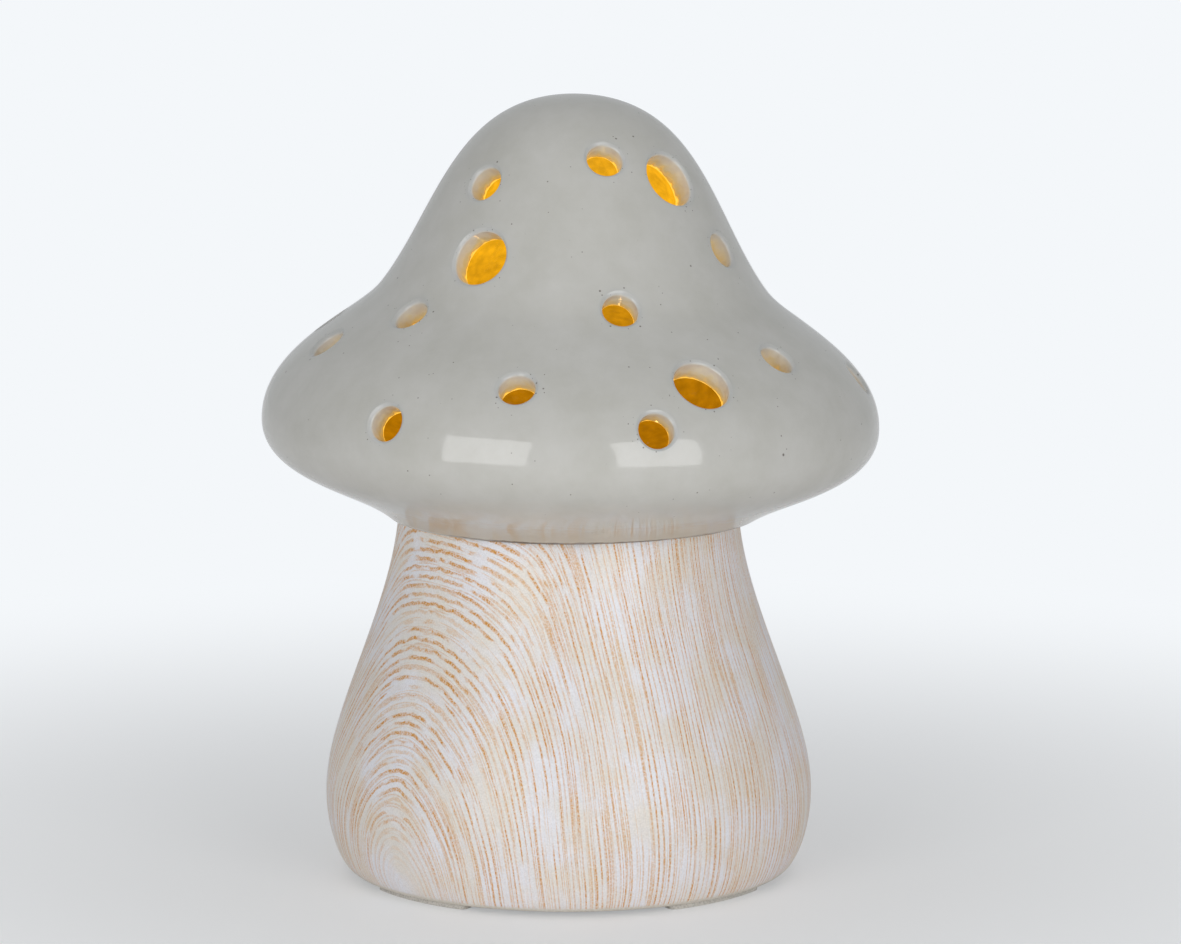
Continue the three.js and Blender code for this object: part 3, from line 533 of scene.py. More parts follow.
# Past this distance from a hole, in mm, its axis may meet the far side of the cap.
HOLE_RANGE = 15
outer_skin = lathe("outer_skin", outside, TURNING_STEPS, closed=False)
skin_tree = BVHTree.FromObject(outer_skin, bpy.context.evaluated_depsgraph_get())
bpy.data.objects.remove(outer_skin)
cap_points = np.empty(len(cap.data.vertices) * 3)
cap.data.vertices.foreach_get("co", cap_points)
cap_points = cap_points.reshape(-1, 3)
nearest = np.full(len(cap_points), SPECK_REACH)
for turn, drop, bore in PUNCHES:
    place, outward = (np.array(v) for v in hole_axis(turn, drop))
    away = cap_points - place
    off_axis = np.linalg.norm(away - np.outer(away @ outward, outward), axis=1)
    in_range = np.linalg.norm(away, axis=1) < HOLE_RANGE * MM
    nearest = np.minimum(nearest, np.where(in_range, off_axis / MM - bore / 2, SPECK_REACH))
nearness = cap.data.attributes.new("hole_nearness", "FLOAT", "POINT")
nearness.data.foreach_set("value", np.clip(1 - nearest / SPECK_REACH, 0, 1))
depths = [min(skin_tree.find_nearest(Vector(point))[3] / (CAP_WALL * MM), 1)
          for point in cap_points]
cap.data.attributes.new("wall_depth", "FLOAT", "POINT").data.foreach_set("value", depths)
print("points at a hole's edge:", int((nearest < 0.5).sum()))

# %% [markdown]
# The real cap leans a little to one side. The whole shell is tilted about the middle of its
# foot, and then cut level where it sits on the stem.

# %% Lean and trim
def smooth(piece, degrees):
    """Shades the piece smooth, but keeps edges that are sharper than the angle."""
    pick(piece)
    bpy.ops.object.shade_smooth_by_angle(angle=math.radians(degrees))


foot_middle = Vector((0, 0, CAP_FOOT[1])) * MM
edit(
    cap,
    lambda: bpy.ops.transform.rotate(value=-CAP_LEAN, orient_axis="Y", center_override=foot_middle),
    lambda: bpy.ops.mesh.bisect(plane_co=foot_middle, plane_no=(0, 0, 1), use_fill=True,
                                clear_inner=True),
    lambda: bpy.ops.mesh.select_all(action="SELECT"),
    lambda: bpy.ops.mesh.dissolve_degenerate(threshold=WELD * MM),
)
highest = max((v.co for v in cap.data.vertices), key=lambda co: co.z)
print("top of the cap, mm:", [round(value / MM, 2) for value in highest])
smooth(cap, 50)

# %% [markdown]
# ## Cap glaze
# The glaze is a glassy celadon grey, fired over a pale clay body. Glass has an IOR of about
# 1.5 and is very smooth. Iron in the clay burns through as dark specks, thickest where the
# clay was punched. Where the wall ends in a hole, the clay is thin and the lamp's light through
# it is painted: the colour goes from peach to amber, and a painted glow lines the edge.

# %% Glaze material
# The cell size in mm, the share of cells with a speck, and the speck's radius in mm. The last
# two kinds gather round the holes.
SCATTERED_SPECKS = [(5.2, 0.5, 0.34), (2.0, 0.35, 0.2)]
GATHERED_SPECKS = [(1.4, 0.7, 0.26), (0.8, 0.6, 0.16)]
# How the clay shows at the foot, first through thin glaze and then wiped bare, where its dark
# brown is also painted shade: how far the edge sways, the heights where it starts and is full,
# all in mm, its share and its colour.
FOOT_CLAY_AND_SEAM_SHADE = [(1.2, 70.6, 68.8, 0.5, "#BFAF97"), (0.12, 66.25, 66.05, 1.0, "#5C4A38")]


def glaze_material():
    """Glassy grey glaze outside, with painted lamplight: glowing hole edges and an amber inside."""
    material, tree, shader, place = start_material("celadon_glazed_stoneware", "#BDBCB6", 0.07,
                                                   IOR=1.52)
    depth = add_node(tree, "Attribute", attribute_name="wall_depth").outputs["Fac"]
    near = add_node(tree, "Attribute", attribute_name="hole_nearness").outputs["Fac"]

    # The glaze pools in soft clouds, and thins to a cooler film over the edges of the holes.
    cloud = add_node(tree, "TexNoise", {"Vector": place, "Scale": 1 / (9 * MM), "Detail": 5.0,
                                        "Roughness": 0.62})
    body = add_node(tree, "ValToRGB", [cloud], [(0.3, "#C2C1BA"), (0.7, "#CCCBC6")])
    film = add_node(tree, "Math", [near, 5.0], operation="POWER")
    film = add_node(tree, "Math", [film, 0.55], operation="MULTIPLY")
    body = add_node(tree, "MixRGB", [film, body, linear("#B4B8BC")])

    # Towards the foot the glaze runs thin and the buff clay shows through it in streaks. Right
    # at the foot it was wiped off, so that the cap wouldn't stick to the kiln shelf, and its dark
    # brown there is painted shade for the shadow line where the cap sits on the stem.
    height = add_node(tree, "SeparateXYZ", [place]).outputs["Z"]
    streak = add_node(tree, "Mapping", {"Vector": place, "Scale": (1, 1, 5)})
    streak = add_node(tree, "TexNoise", {"Vector": streak, "Scale": 1 / (2.5 * MM), "Detail": 4.0})
    for sway, start_z, full_z, share, clay_and_shade in FOOT_CLAY_AND_SEAM_SHADE:
        drift = add_node(tree, "MapRange", [streak, 0.3, 0.7, -sway * MM, sway * MM])
        drift = add_node(tree, "Math", [height, drift])
        bare = add_node(tree, "MapRange", [drift, start_z * MM, full_z * MM, 0.0, share])
        body = add_node(tree, "MixRGB", [bare, body, linear(clay_and_shade)])

    # Each speck is the middle of a Voronoi cell, and a lot drawn by the cell says if it shows.
    dots = 0.0
    for spacing, share, size in SCATTERED_SPECKS + GATHERED_SPECKS:
        cells = add_node(tree, "TexVoronoi", {"Vector": place, "Scale": 1 / (spacing * MM)})
        lot = add_node(tree, "SeparateColor", [cells.outputs["Color"]])
        if (spacing, share, size) in GATHERED_SPECKS:
            close = add_node(tree, "Math", [near, near], operation="MULTIPLY")
            share = add_node(tree, "Math", [close, share], operation="MULTIPLY")
        drawn = add_node(tree, "Math", [lot, share], operation="LESS_THAN")
        width = add_node(tree, "MapRange", [lot.outputs["Green"], 0.0, 1.0, 0.5, 1.0])
        spread = add_node(tree, "Math", [cells, width], operation="DIVIDE")
        dot = add_node(tree, "MapRange", [spread, 0.45 * size / spacing, size / spacing, 0.8, 0.0])
        dot = add_node(tree, "Math", [dot, drawn], operation="MULTIPLY")
        dots = add_node(tree, "Math", [dots, dot], operation="MAXIMUM")
    speckled = add_node(tree, "MixRGB", [dots, body, linear("#544A41")])

    # The punch tears the clay a little on its way out, so the inner edge of a hole is ragged.
    inner = add_node(tree, "MapRange", [depth, 0.03, 0.14])
    tear = add_node(tree, "TexNoise", {"Vector": place, "Scale": 1 / (1.5 * MM), "Detail": 3.0})
    tear = add_node(tree, "MapRange", [tear, 0.3, 0.7, -0.7, 0.7])
    rest = add_node(tree, "Math", [1.0, depth], operation="SUBTRACT")
    tear = add_node(tree, "Math", [tear, rest], operation="MULTIPLY")
    tear = add_node(tree, "Math", [tear, depth], operation="MULTIPLY")
    torn = add_node(tree, "Math", [depth, tear])

    # Through the wall the colour goes from the glaze to bare pale clay, then to a yellow that is
    # painted lamplight, and to dark brown under the painted glow of the inside.
    wall = add_node(tree, "ValToRGB", [torn], [
        (0.0, "#C4C5C1"), (0.12, "#D4D3CE"), (0.5, "#DEDFD1"), (0.8, "#DAD5AA"),
        (0.93, "#A08450"), (0.98, "#2E2410")])
    colour = add_node(tree, "MixRGB", [inner, speckled, wall])
    feed(shader, Base_Color=colour)

    # Painted lamplight: the inside glows amber as if lit by the lamp below, brightest at the
    # crown, where its beam would strike the most.
    rise = add_node(tree, "MapRange", [height, 68 * MM, 138 * MM])
    lit = add_node(tree, "ValToRGB", [rise], [
        (0.0, "#9A6102"), (0.15, "#A46802"), (0.45, "#BE820D"), (0.62, "#EAA716"),
        (0.8, "#E9A719"), (1.0, "#D8981A")])
    # Noise makes the painted glow uneven, and its brightest spots are painted glints.
    grain = add_node(tree, "TexNoise", {"Vector": place, "Scale": 1 / (1.8 * MM), "Detail": 5.0})
    grain = add_node(tree, "MapRange", [grain, 0.35, 0.7, 0.86, 1.2])
    lit = add_node(tree, "VectorMath", {0: lit, "Scale": grain}, operation="SCALE")
    # A painted glow at the hole's inner edge, where the lamp's light would come through the thin
    # clay.
    edge = add_node(tree, "ValToRGB", [torn], [
        (0.0, "#000000"), (0.25, "#0A0805"), (0.7, "#33260F"), (0.86, "#86601C"),
        (0.91, "#FFC440"), (0.95, "#FFD45A")])
    within = add_node(tree, "MapRange", [torn, 0.955, 0.985])
    shine = add_node(tree, "MixRGB", [within, edge, lit])
    feed(shader, Emission_Color=shine)
    shader.inputs["Emission Strength"].default_value = 1.0

    # Outside, the glaze lies in long soft ripples. In the holes it ran and set in beads, which
    # glint in the light of the softboxes.
    ripple = add_node(tree, "TexNoise", {"Vector": place, "Scale": 1 / (7 * MM), "Detail": 2.0})
    beads = add_node(tree, "TexNoise", {"Vector": place, "Scale": 1 / (2.4 * MM), "Detail": 1.0})
    beads = add_node(tree, "Math", [beads, inner], operation="MULTIPLY")
    beads = add_node(tree, "Math", [beads, 8.0], operation="MULTIPLY")
    relief = add_node(tree, "Math", [ripple, beads])
    bump = add_node(tree, "Bump", {"Height": relief, "Strength": 0.35, "Distance": 0.12 * MM})
    feed(shader, Normal=bump)
    return material


# %% [markdown]
# A finished piece gets its material and the moving body that it rides on, and the CAD nodes
# that it takes the place of are hidden. Most pieces have one material, so one function does
# all of it.

# %% Dress the cap
def enrol(piece, body, slot, *nodes):
    """Hangs the piece on its moving body and hides the CAD nodes it stands for. The slot is not
    used.
    """
    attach(piece, body)
    if nodes:
        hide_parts(*nodes)


def dress(piece, body, slot, material, *nodes):
    """Gives the piece its one finish and enrols it."""
    piece.data.materials.clear()
    piece.data.materials.append(material)
    enrol(piece, body, slot, *nodes)


dress(cap, "lamp", "glaze", glaze_material(), "cap_shell")
print("glazed cap:", len(cap.data.materials[0].node_tree.nodes), "shader nodes")

# %% [markdown]
# ## Stem
# The stem is a second casting, a hollow vase with an inward lip at the foot that holds the
# battery module. Its profile is closed: up the outside, over the mouth, down the inside, and
# through the bore and the recess of the foot.

# %% Stem outline and shell
FOOT_Z = 1.0
STEM_TOP_Z = 65.4
STEM_WALL = 4.5
FOOT_RADIUS = 39.741
BELLY_RADIUS = 44.441
BELLY_Z = 15.0
NECK_RADIUS = 31.0
LIP_TOP_Z = 9.0
LIP_FILLET = 0.5
BORE_RADIUS = 31.241
RECESS_RADIUS = 34.841
RECESS_TOP_Z = 4.7
EDGE_ROUND = 0.4
STEM_OUTSIDE_STEPS = 110
STEM_INSIDE_STEPS = 50

stem_curves = [
    stretch((FOOT_RADIUS, FOOT_Z), 0, 0.12, (BELLY_RADIUS, BELLY_Z), 90, 0.53),
    stretch((BELLY_RADIUS, BELLY_Z), 90, 0.26, (NECK_RADIUS, STEM_TOP_Z), 95, 0.34),
]
outer_side = even_outline(stem_curves, STEM_OUTSIDE_STEPS)
inner_side = [(radius, height)
              for radius, height in even_outline(stem_curves, STEM_INSIDE_STEPS, STEM_WALL)
              if height > LIP_TOP_Z + LIP_FILLET]
profile = outer_side + [(NECK_RADIUS - STEM_WALL, STEM_TOP_Z)] + inner_side[-2::-1]
profile += [(inner_side[0][0] - STEM_WALL / 2, LIP_TOP_Z), (BORE_RADIUS, LIP_TOP_Z)]
profile += [(BORE_RADIUS, RECESS_TOP_Z), (RECESS_RADIUS, RECESS_TOP_Z)]
profile += [(RECESS_RADIUS, FOOT_Z + EDGE_ROUND), (RECESS_RADIUS + EDGE_ROUND, FOOT_Z)]
stem = lathe("stem_printed", profile, TURNING_STEPS, closed=True)
smooth(stem, 40)
print("stem:", count_triangles(stem), "triangles")

# %% [markdown]
# The film covers only the outside, and ends where the wall turns under. So the points of the
# outside are marked, and the finish leaves the foot and the inside as bare biscuit ware.

# %% Where the print is
PRINT_FOOT_Z = 1.7
PRINT_MARGIN = 0.3

side_heights = [height for _, height in outer_side]
side_radii = [radius for radius, _ in outer_side]
marks = []
for vertex in stem.data.vertices:
    radius, height = vertex.co.to_2d().length / MM, vertex.co.z / MM
    outside_wall = radius > np.interp(height, side_heights, side_radii) - PRINT_MARGIN
    marks.append(float(outside_wall and height > PRINT_FOOT_Z))
stem.data.attributes.new("printed", "FLOAT", "POINT").data.foreach_set("value", marks)
print("printed points:", int(sum(marks)), "of", len(marks))

# %% [markdown]
# ## Wood print
# A film with a wood grain is wrapped round the stem, as on many printed ceramics. The grain is
# that of a plain-sawn board: where the saw only grazes the year rings they show as nested
# arches, and beside them as long lines. So each ring is a rounded arch about one spot low on
# the stem, wider than tall by a fixed share, and far from the arches the rings run straight up.
# Fibres run up the stem too. They shift the rings and break them into strokes.

# %% Wood print material
ARCH_TURN = math.radians(-45)
ARCH_FOOT_MM = 4.0
WRAP_RADIUS_MM = 40.0
ARCH_WIDTH = 0.6
ARCH_POWER = 2.0
ARCH_FADE_MM = 62.0
RING_SPACING_MM = 1.6


def print_material():
    """Ochre rings on an off-white ground, matt like a ceramic decal."""
    material, tree, shader, place = start_material("wood_grain_ceramic_decal", "#E8E2DF", 0.42)
    place = add_node(tree, "VectorMath", {0: place, "Scale": 1 / MM}, operation="SCALE")

    # The sheet is never quite even, so the whole pattern sways a little from place to place.
    calm = add_node(tree, "Mapping", {"Vector": place, "Scale": (1, 1, 0.5)})
    sway = add_node(tree, "TexNoise", {"Vector": calm, "Scale": 1 / 30, "Detail": 1.0})
    sway = add_node(tree, "VectorMath", [sway.outputs["Color"], (0.5, 0.5, 0.5)],
                    operation="SUBTRACT")
    sway = add_node(tree, "VectorMath", {0: sway, "Scale": 6.0}, operation="SCALE")
    bent = add_node(tree, "VectorMath", [place, sway])

    # How far round the stem from the arches' axis, and how far above their foot.
    sine, cosine = math.sin(ARCH_TURN), math.cos(ARCH_TURN)
    aside = add_node(tree, "VectorMath", [bent, (cosine, sine, 0)], operation="DOT_PRODUCT")
    ahead = add_node(tree, "VectorMath", [bent, (sine, -cosine, 0)], operation="DOT_PRODUCT")
    turn = add_node(tree, "Math", [aside.outputs["Value"], ahead.outputs["Value"]],
                    operation="ARCTAN2")
    turn = add_node(tree, "Math", [turn], operation="ABSOLUTE")
    across = add_node(tree, "Math", [turn, WRAP_RADIUS_MM], operation="MULTIPLY")
    height = add_node(tree, "SeparateXYZ", [bent]).outputs["Z"]
    rise = add_node(tree, "Math", [height, ARCH_FOOT_MM], operation="SUBTRACT")
    rise = add_node(tree, "Math", [rise], operation="ABSOLUTE")

    # Far from the arches the height counts for less and less, and the rings run upright.
    fade = add_node(tree, "Math", [across, across], operation="MULTIPLY")
    fade = add_node(tree, "Math", [fade, -1 / ARCH_FADE_MM ** 2], operation="MULTIPLY")
    fade = add_node(tree, "Math", [fade], operation="EXPONENT")
    rise = add_node(tree, "Math", [rise, fade], operation="MULTIPLY")
    wide = add_node(tree, "Math", [across, 1 / ARCH_WIDTH], operation="MULTIPLY")
    wide = add_node(tree, "Math", [wide, ARCH_POWER], operation="POWER")
    tall = add_node(tree, "Math", [rise, ARCH_POWER], operation="POWER")
    both = add_node(tree, "Math", [wide, tall], operation="ADD")
    reach = add_node(tree, "Math", [both, 1 / ARCH_POWER], operation="POWER")
    grazing = add_node(tree, "Math", [tall, both], operation="DIVIDE")

    # Fibres shift each ring up or down, most where the saw grazes it.
    upright = add_node(tree, "Mapping", {"Vector": place, "Scale": (1, 1, 0.06)})
    fibre = add_node(tree, "TexNoise", {"Vector": upright, "Scale": 1 / 2.2, "Detail": 3.0})
    fibre = add_node(tree, "Math", [fibre, 0.5], operation="SUBTRACT")
    shift = add_node(tree, "MapRange", [grazing, 0.0, 1.0, 0.3, 0.8])
    shift = add_node(tree, "Math", [fibre, shift], operation="MULTIPLY")
    ring = add_node(tree, "Math", [reach, 1 / RING_SPACING_MM], operation="MULTIPLY")
    ring = add_node(tree, "Math", [ring, shift], operation="ADD")
    phase = add_node(tree, "Math", [ring], operation="FRACT")
    arch = add_node(tree, "ValToRGB", [phase], [(0.28, "#000000"), (0.4, "#FFFFFF"),
                                                (0.68, "#FFFFFF"), (0.8, "#000000")])
    line = add_node(tree, "ValToRGB", [phase], [(0.35, "#000000"), (0.45, "#FFFFFF"),
                                                (0.62, "#FFFFFF"), (0.72, "#000000")])
    stroke = add_node(tree, "MixRGB", [grazing, line, arch])

    # Some years printed bold and some pale, every stroke is broken into dashes, and fine
    # strands run between the strokes. Each is noise drawn out along the rings.
    streaks = []
    for across_rings, stretch_by, detail, limits in (
            (reach, (0.42, 0.02, 0.03), 2.0, (0.36, 0.54, 0.4, 1.0)),
            (ring, (0.9, 0.07, 0.3), 3.0, (0.41, 0.52, 0.05, 1.0)),
            (reach, (2.5, 0.035, 0.1), 3.0, (0.54, 0.6, 0.0, 0.7))):
        along = add_node(tree, "CombineXYZ", [across_rings, height, across])
        along = add_node(tree, "Mapping", {"Vector": along, "Scale": stretch_by})
        noise = add_node(tree, "TexNoise", {"Vector": along, "Scale": 1.0, "Detail": detail})
        streaks.append(add_node(tree, "MapRange", [noise, *limits]))
    bold, dash, strand = streaks
    flank = add_node(tree, "MapRange", [grazing, 0.2, 0.9, 1.0, 0.7])
    strand = add_node(tree, "Math", [strand, flank], operation="MULTIPLY")

    # The innermost rings are worn pale, and the ink is grainy where the film took it badly.
    core = add_node(tree, "MapRange", [reach, 4.0, 15.0, 0.12, 1.0])
    fleck = add_node(tree, "TexNoise", {"Vector": place, "Scale": 1 / 0.3, "Detail": 2.0})
    fleck = add_node(tree, "MapRange", [fleck, 0.38, 0.58, 0.35, 1.0])
    ink_amount = stroke
    for operation, share in (("MULTIPLY", bold), ("MULTIPLY", dash), ("MAXIMUM", strand),
                             ("MULTIPLY", core), ("MULTIPLY", fleck)):
        ink_amount = add_node(tree, "Math", [ink_amount, share], operation=operation)
    worn = add_node(tree, "TexNoise", {"Vector": place, "Scale": 1 / 9, "Detail": 4.0})
    worn = add_node(tree, "MapRange", [worn, 0.4, 0.62])
    ground = add_node(tree, "MixRGB", [worn, linear("#EFEEF3"), linear("#ECE6DF")])
    ink = add_node(tree, "MixRGB", [bold, linear("#E2B050"), linear("#D69428")])
    colour = add_node(tree, "MixRGB", [ink_amount, ground, ink])
    grain = add_node(tree, "TexNoise", {"Vector": place, "Scale": 1 / 0.28, "Detail": 1.0})
    grain = add_node(tree, "MapRange", [grain, 0.3, 0.7, 0.91, 1.05])
    colour = add_node(tree, "VectorMath", {0: colour, "Scale": grain}, operation="SCALE")

    # Bare biscuit ware is chalky, with fine grog in it.
    grog = add_node(tree, "TexNoise", {"Vector": place, "Scale": 1 / 0.5, "Detail": 4.0})
    biscuit = add_node(tree, "ValToRGB", [grog], [(0.35, "#D9D2C7"), (0.7, "#E9E4DB")])
    printed = add_node(tree, "Attribute", attribute_name="printed").outputs["Fac"]
    colour = add_node(tree, "MixRGB", [printed, biscuit, colour.outputs["Vector"]])
    feed(shader, Base_Color=colour)
    matt = add_node(tree, "MapRange", [printed, 0.0, 1.0, 0.85, 0.42])
    feed(shader, Roughness=matt)

    peel = add_node(tree, "TexNoise", {"Vector": place, "Scale": 1 / 0.6})
    bump = add_node(tree, "Bump", {"Height": peel, "Strength": 0.25, "Distance": 0.05 * MM})
    feed(shader, Normal=bump)
    return material


dress(stem, "lamp", "printed_ceramic", print_material(), "stem_shell")
print("printed stem:", len(stem.data.materials[0].node_tree.nodes), "shader nodes")

# %% [markdown]
# ## Ways to shape a moulded piece
# A moulded part is made of blocks and turned forms, joined and cut. None of its edges is
# sharp, because a mould's edges are not, and it is this small round that catches the light.

# %% Blocks, joins and rounded edges
ROUND_STEPS = 48
# Edges shorter than this, in mm, are slivers that a boolean left.
SLIVER = 0.02
# Faces that differ by less than this are one flat face.
FLAT_ANGLE = math.radians(0.3)
# A joined block reaches this far into its neighbour, and a cutter stands this far clear at
# least, in mm, because a boolean wants no two faces in one plane.
OVERLAP = 0.2
CLEAR = 2


def block(name, low, high):
    """A box between two corners in mm, with its place and size in the mesh."""
    low, high = Vector(low) * MM, Vector(high) * MM
    pick()
    bpy.ops.mesh.primitive_cube_add(size=1, location=(low + high) / 2, scale=high - low)
    piece = named(name)
    settle(piece)
    return piece


def rod(name, radius, low, high):
    """A cylinder in mm along the axis between two points that differ in one coordinate."""
    low, high = Vector(low) * MM, Vector(high) * MM
    run = high - low
    pick()
    bpy.ops.mesh.primitive_cylinder_add(
        vertices=ROUND_STEPS, radius=radius * MM, depth=run.length, location=(low + high) / 2,
        rotation=run.to_track_quat("Z", "Y").to_euler())
    piece = named(name)
    settle(piece)
    return piece


def combine(piece, operation, *tools):
    """Adds each tool to the piece (UNION) or cuts it out (DIFFERENCE), and uses it up."""
    for tool in tools:
        add_modifier(piece, "BOOLEAN", object=tool, operation=operation, solver="EXACT")
        bpy.data.objects.remove(tool)


def soften(piece, width, angle=35):
    """Rounds the edges sharper than an angle by a width in mm, and shades the rest smooth.

    Slivers that a boolean left are merged first. The overlap clamp is off, because one short
    edge would hold back the rounding of the whole piece. Weighting the normals by area keeps
    the flat faces flat to the eye, right up to their rounded edges.
    """
    edit(
        piece,
        lambda: bpy.ops.mesh.remove_doubles(threshold=SLIVER * MM),
        lambda: bpy.ops.mesh.dissolve_limited(angle_limit=FLAT_ANGLE),
    )
    add_modifier(piece, "BEVEL", width=width * MM, segments=3, limit_method="ANGLE",
                 angle_limit=math.radians(angle), use_clamp_overlap=False)
    edit(piece, lambda: bpy.ops.mesh.remove_doubles(threshold=WELD * MM))
    smooth(piece, angle)
    add_modifier(piece, "WEIGHTED_NORMAL", mode="FACE_AREA", keep_sharp=True)


def box_mm(node):
    """The lowest and highest corners of a CAD node, in mm."""
    low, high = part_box(node)
    return Vector(low) / MM, Vector(high) / MM


# %% [markdown]
# ## Moulded plastic, foam and screws
# The module and its door are white ABS. The mould is spark-eroded, which leaves a fine satin
# grain that hides scratches. ABS yellows a little unevenly, and its sheen is that of its skin.

# %% Plastic, foam and steel materials
def moulded_plastic(name, light, dark, roughness):
    """Satin moulded plastic, with the fine pits of a spark-eroded mould."""
    material, tree, shader, place = start_material(name, light, roughness, IOR=1.53)
    cast = add_node(tree, "TexNoise", {"Vector": place, "Scale": 1 / (14 * MM), "Detail": 3.0})
    colour = add_node(tree, "ValToRGB", [cast], [(0.3, dark), (0.7, light)])
    feed(shader, Base_Color=colour)
    pits = add_node(tree, "TexVoronoi", {"Vector": place, "Scale": 1 / (0.12 * MM)})
    rubbed = add_node(tree, "TexNoise", {"Vector": place, "Scale": 1 / (5 * MM), "Detail": 4.0})
    sheen = add_node(tree, "MapRange", [rubbed, 0.35, 0.65, roughness - 0.06, roughness + 0.1])
    feed(shader, Roughness=sheen)
    bump = add_node(tree, "Bump", {"Height": pits, "Strength": 0.3, "Distance": 0.02 * MM})
    feed(shader, Normal=bump)
    return material


def eva_foam():
    """Closed-cell foam: small bubbles cut open by the blade, with painted shade in their hollows,
    and no shine.
    """
    material, tree, shader, place = start_material("closed_cell_eva_foam", "#CFCBC4", 0.95)
    cells = add_node(tree, "TexVoronoi", {"Vector": place, "Scale": 1 / (0.35 * MM)})
    # Each cut-open bubble is darker in its middle: painted shade in its hollow.
    colour = add_node(tree, "ValToRGB", [cells], [(0.1, "#B4B0A9"), (0.6, "#D6D2CB")])
    feed(shader, Base_Color=colour)
    bump = add_node(tree, "Bump", {"Height": cells, "Strength": 0.7, "Distance": 0.06 * MM})
    feed(shader, Normal=bump)
    return material


def plated_steel(name, colour, stain, roughness):
    """Plated steel, with a faint haze in the plating and fine marks of the drawing die."""
    material, tree, shader, place = start_material(name, colour, roughness, Metallic=1.0)
    haze = add_node(tree, "TexNoise", {"Vector": place, "Scale": 1 / (1.6 * MM), "Detail": 4.0})
    tint = add_node(tree, "ValToRGB", [haze], [(0.35, colour), (0.75, stain)])
    feed(shader, Base_Color=tint)
    drawn = add_node(tree, "Mapping", {"Vector": place, "Scale": (1, 1, 12)})
    marks = add_node(tree, "TexNoise", {"Vector": drawn, "Scale": 1 / (0.6 * MM), "Detail": 2.0})
    gloss = add_node(tree, "MapRange", [marks, 0.3, 0.7, roughness - 0.08, roughness + 0.12])
    feed(shader, Roughness=gloss)
    return material


white_abs = moulded_plastic("spark_eroded_white_abs", "#E9E8E3", "#E3E1D9", 0.42)
black_nylon = moulded_plastic("moulded_black_nylon", "#232325", "#1B1B1D", 0.4)
pad_foam = eva_foam()
zinc_steel = plated_steel("zinc_plated_steel", "#C9CBCD", "#B4B3AE", 0.3)
nickel_steel = plated_steel("nickel_plated_spring_steel", "#D6D2C8", "#BDB8AC", 0.22)
print("finishes so far:", [material.name for material in bpy.data.materials])

# %% [markdown]
# ## Module housing
# The housing is the white plate that closes the foot, with the battery bay behind it. Its CAD
# solid has the true shape and sharp edges, so a copy of it is merged and its edges are
# rounded. Its rim has 40 facets there, so the rim's edges are divided and laid on the circle.
# The words beside the switch are raised in the mould, as on most such lamps.

# %% Housing with its switch words
RIM_CUTS = 3
# A point is on the rim, or near it, past these shares of its radius.
ON_RIM = 0.998
NEAR_RIM = 0.995
WORD_SIZE = 2.2
WORD_RISE = 0.12
WORD_ROUND = 0.03
# Each word's place from the middle of the switch, in mm.
SWITCH_WORDS = [("ON", -6.4, 0), ("OFF", 0, -3.6), ("TIMER", 8.2, 0)]


def copy_of(piece, name):
    """A copy with a mesh of its own."""
    copied = piece.copy()
    copied.data = piece.data.copy()
    copied.name = copied.data.name = name
    bpy.context.collection.objects.link(copied)
    return copied


def merged_copy(node, name):
    """A copy of a CAD node whose triangles share their points again."""
    piece = copy_of(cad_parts[node], name)
    piece.parent = None
    for key in list(piece.keys()):
        del piece[key]
    edit(
        piece,
        lambda: bpy.ops.mesh.remove_doubles(threshold=WELD * MM),
        lambda: bpy.ops.mesh.dissolve_limited(angle_limit=FLAT_ANGLE),
        lambda: bpy.ops.mesh.normals_make_consistent(inside=False),
    )
    return piece


def raised_word(word, x, y, z):
    """A word at a place in mm, raised from a face that looks down."""
    pick()
    bpy.ops.object.text_add(rotation=(math.pi, 0, 0), location=Vector((x, y, z)) * MM)
    text = bpy.context.object
    text.data.body = word
    text.data.size = WORD_SIZE * MM
    text.data.extrude = WORD_RISE * MM
    text.data.bevel_depth = WORD_ROUND * MM
    text.data.align_x = "CENTER"
    text.data.align_y = "CENTER"
    bpy.ops.object.convert(target="MESH")
    piece = named("word_" + word.lower())
    settle(piece)
    edit(piece, lambda: bpy.ops.mesh.remove_doubles(threshold=WELD * MM))
    return piece


housing = merged_copy("module_housing", "module_housing_moulded")
flange_low, flange_high = box_mm("module_housing")
rim_radius = flange_high.x * MM
on_rim = [vertex.co.to_2d().length > rim_radius * ON_RIM for vertex in housing.data.vertices]
choose(housing, "EDGE",
       lambda edge: all(on_rim[i] for i in edge.vertices) and climb(housing, edge) < SLIVER * MM,
       lambda: bpy.ops.mesh.subdivide(number_cuts=RIM_CUTS))
for vertex in housing.data.vertices:
    radius = vertex.co.to_2d().length
    if radius > rim_radius * NEAR_RIM:
        vertex.co.xy *= rim_radius / radius
soften(housing, 0.18)
dress(housing, "lamp", "white_plastic", white_abs, "module_housing")
print("housing:", count_triangles(housing), "triangles")

slider_low, slider_high = box_mm("switch_slider")
switch_y = (slider_low.y + slider_high.y) / 2
flange_z = flange_low.z
for word, x, y in SWITCH_WORDS:
    dress(raised_word(word, x, switch_y + y, flange_z), "lamp", "white_plastic", white_abs)
print("words at the switch:", [word for word, _, _ in SWITCH_WORDS])

# %% [markdown]
# ## Battery door
# The door is a flat plate with round corners, a hinge knuckle along one side, a tab for the
# screw on the other and a rib that keeps the cells apart. Grooves by the tab give a thumb
# some grip. The tab is drawn out of the plate's edge, the knuckle, pins and rib are joined on,
# and the hole is turned to the screw's own shape.

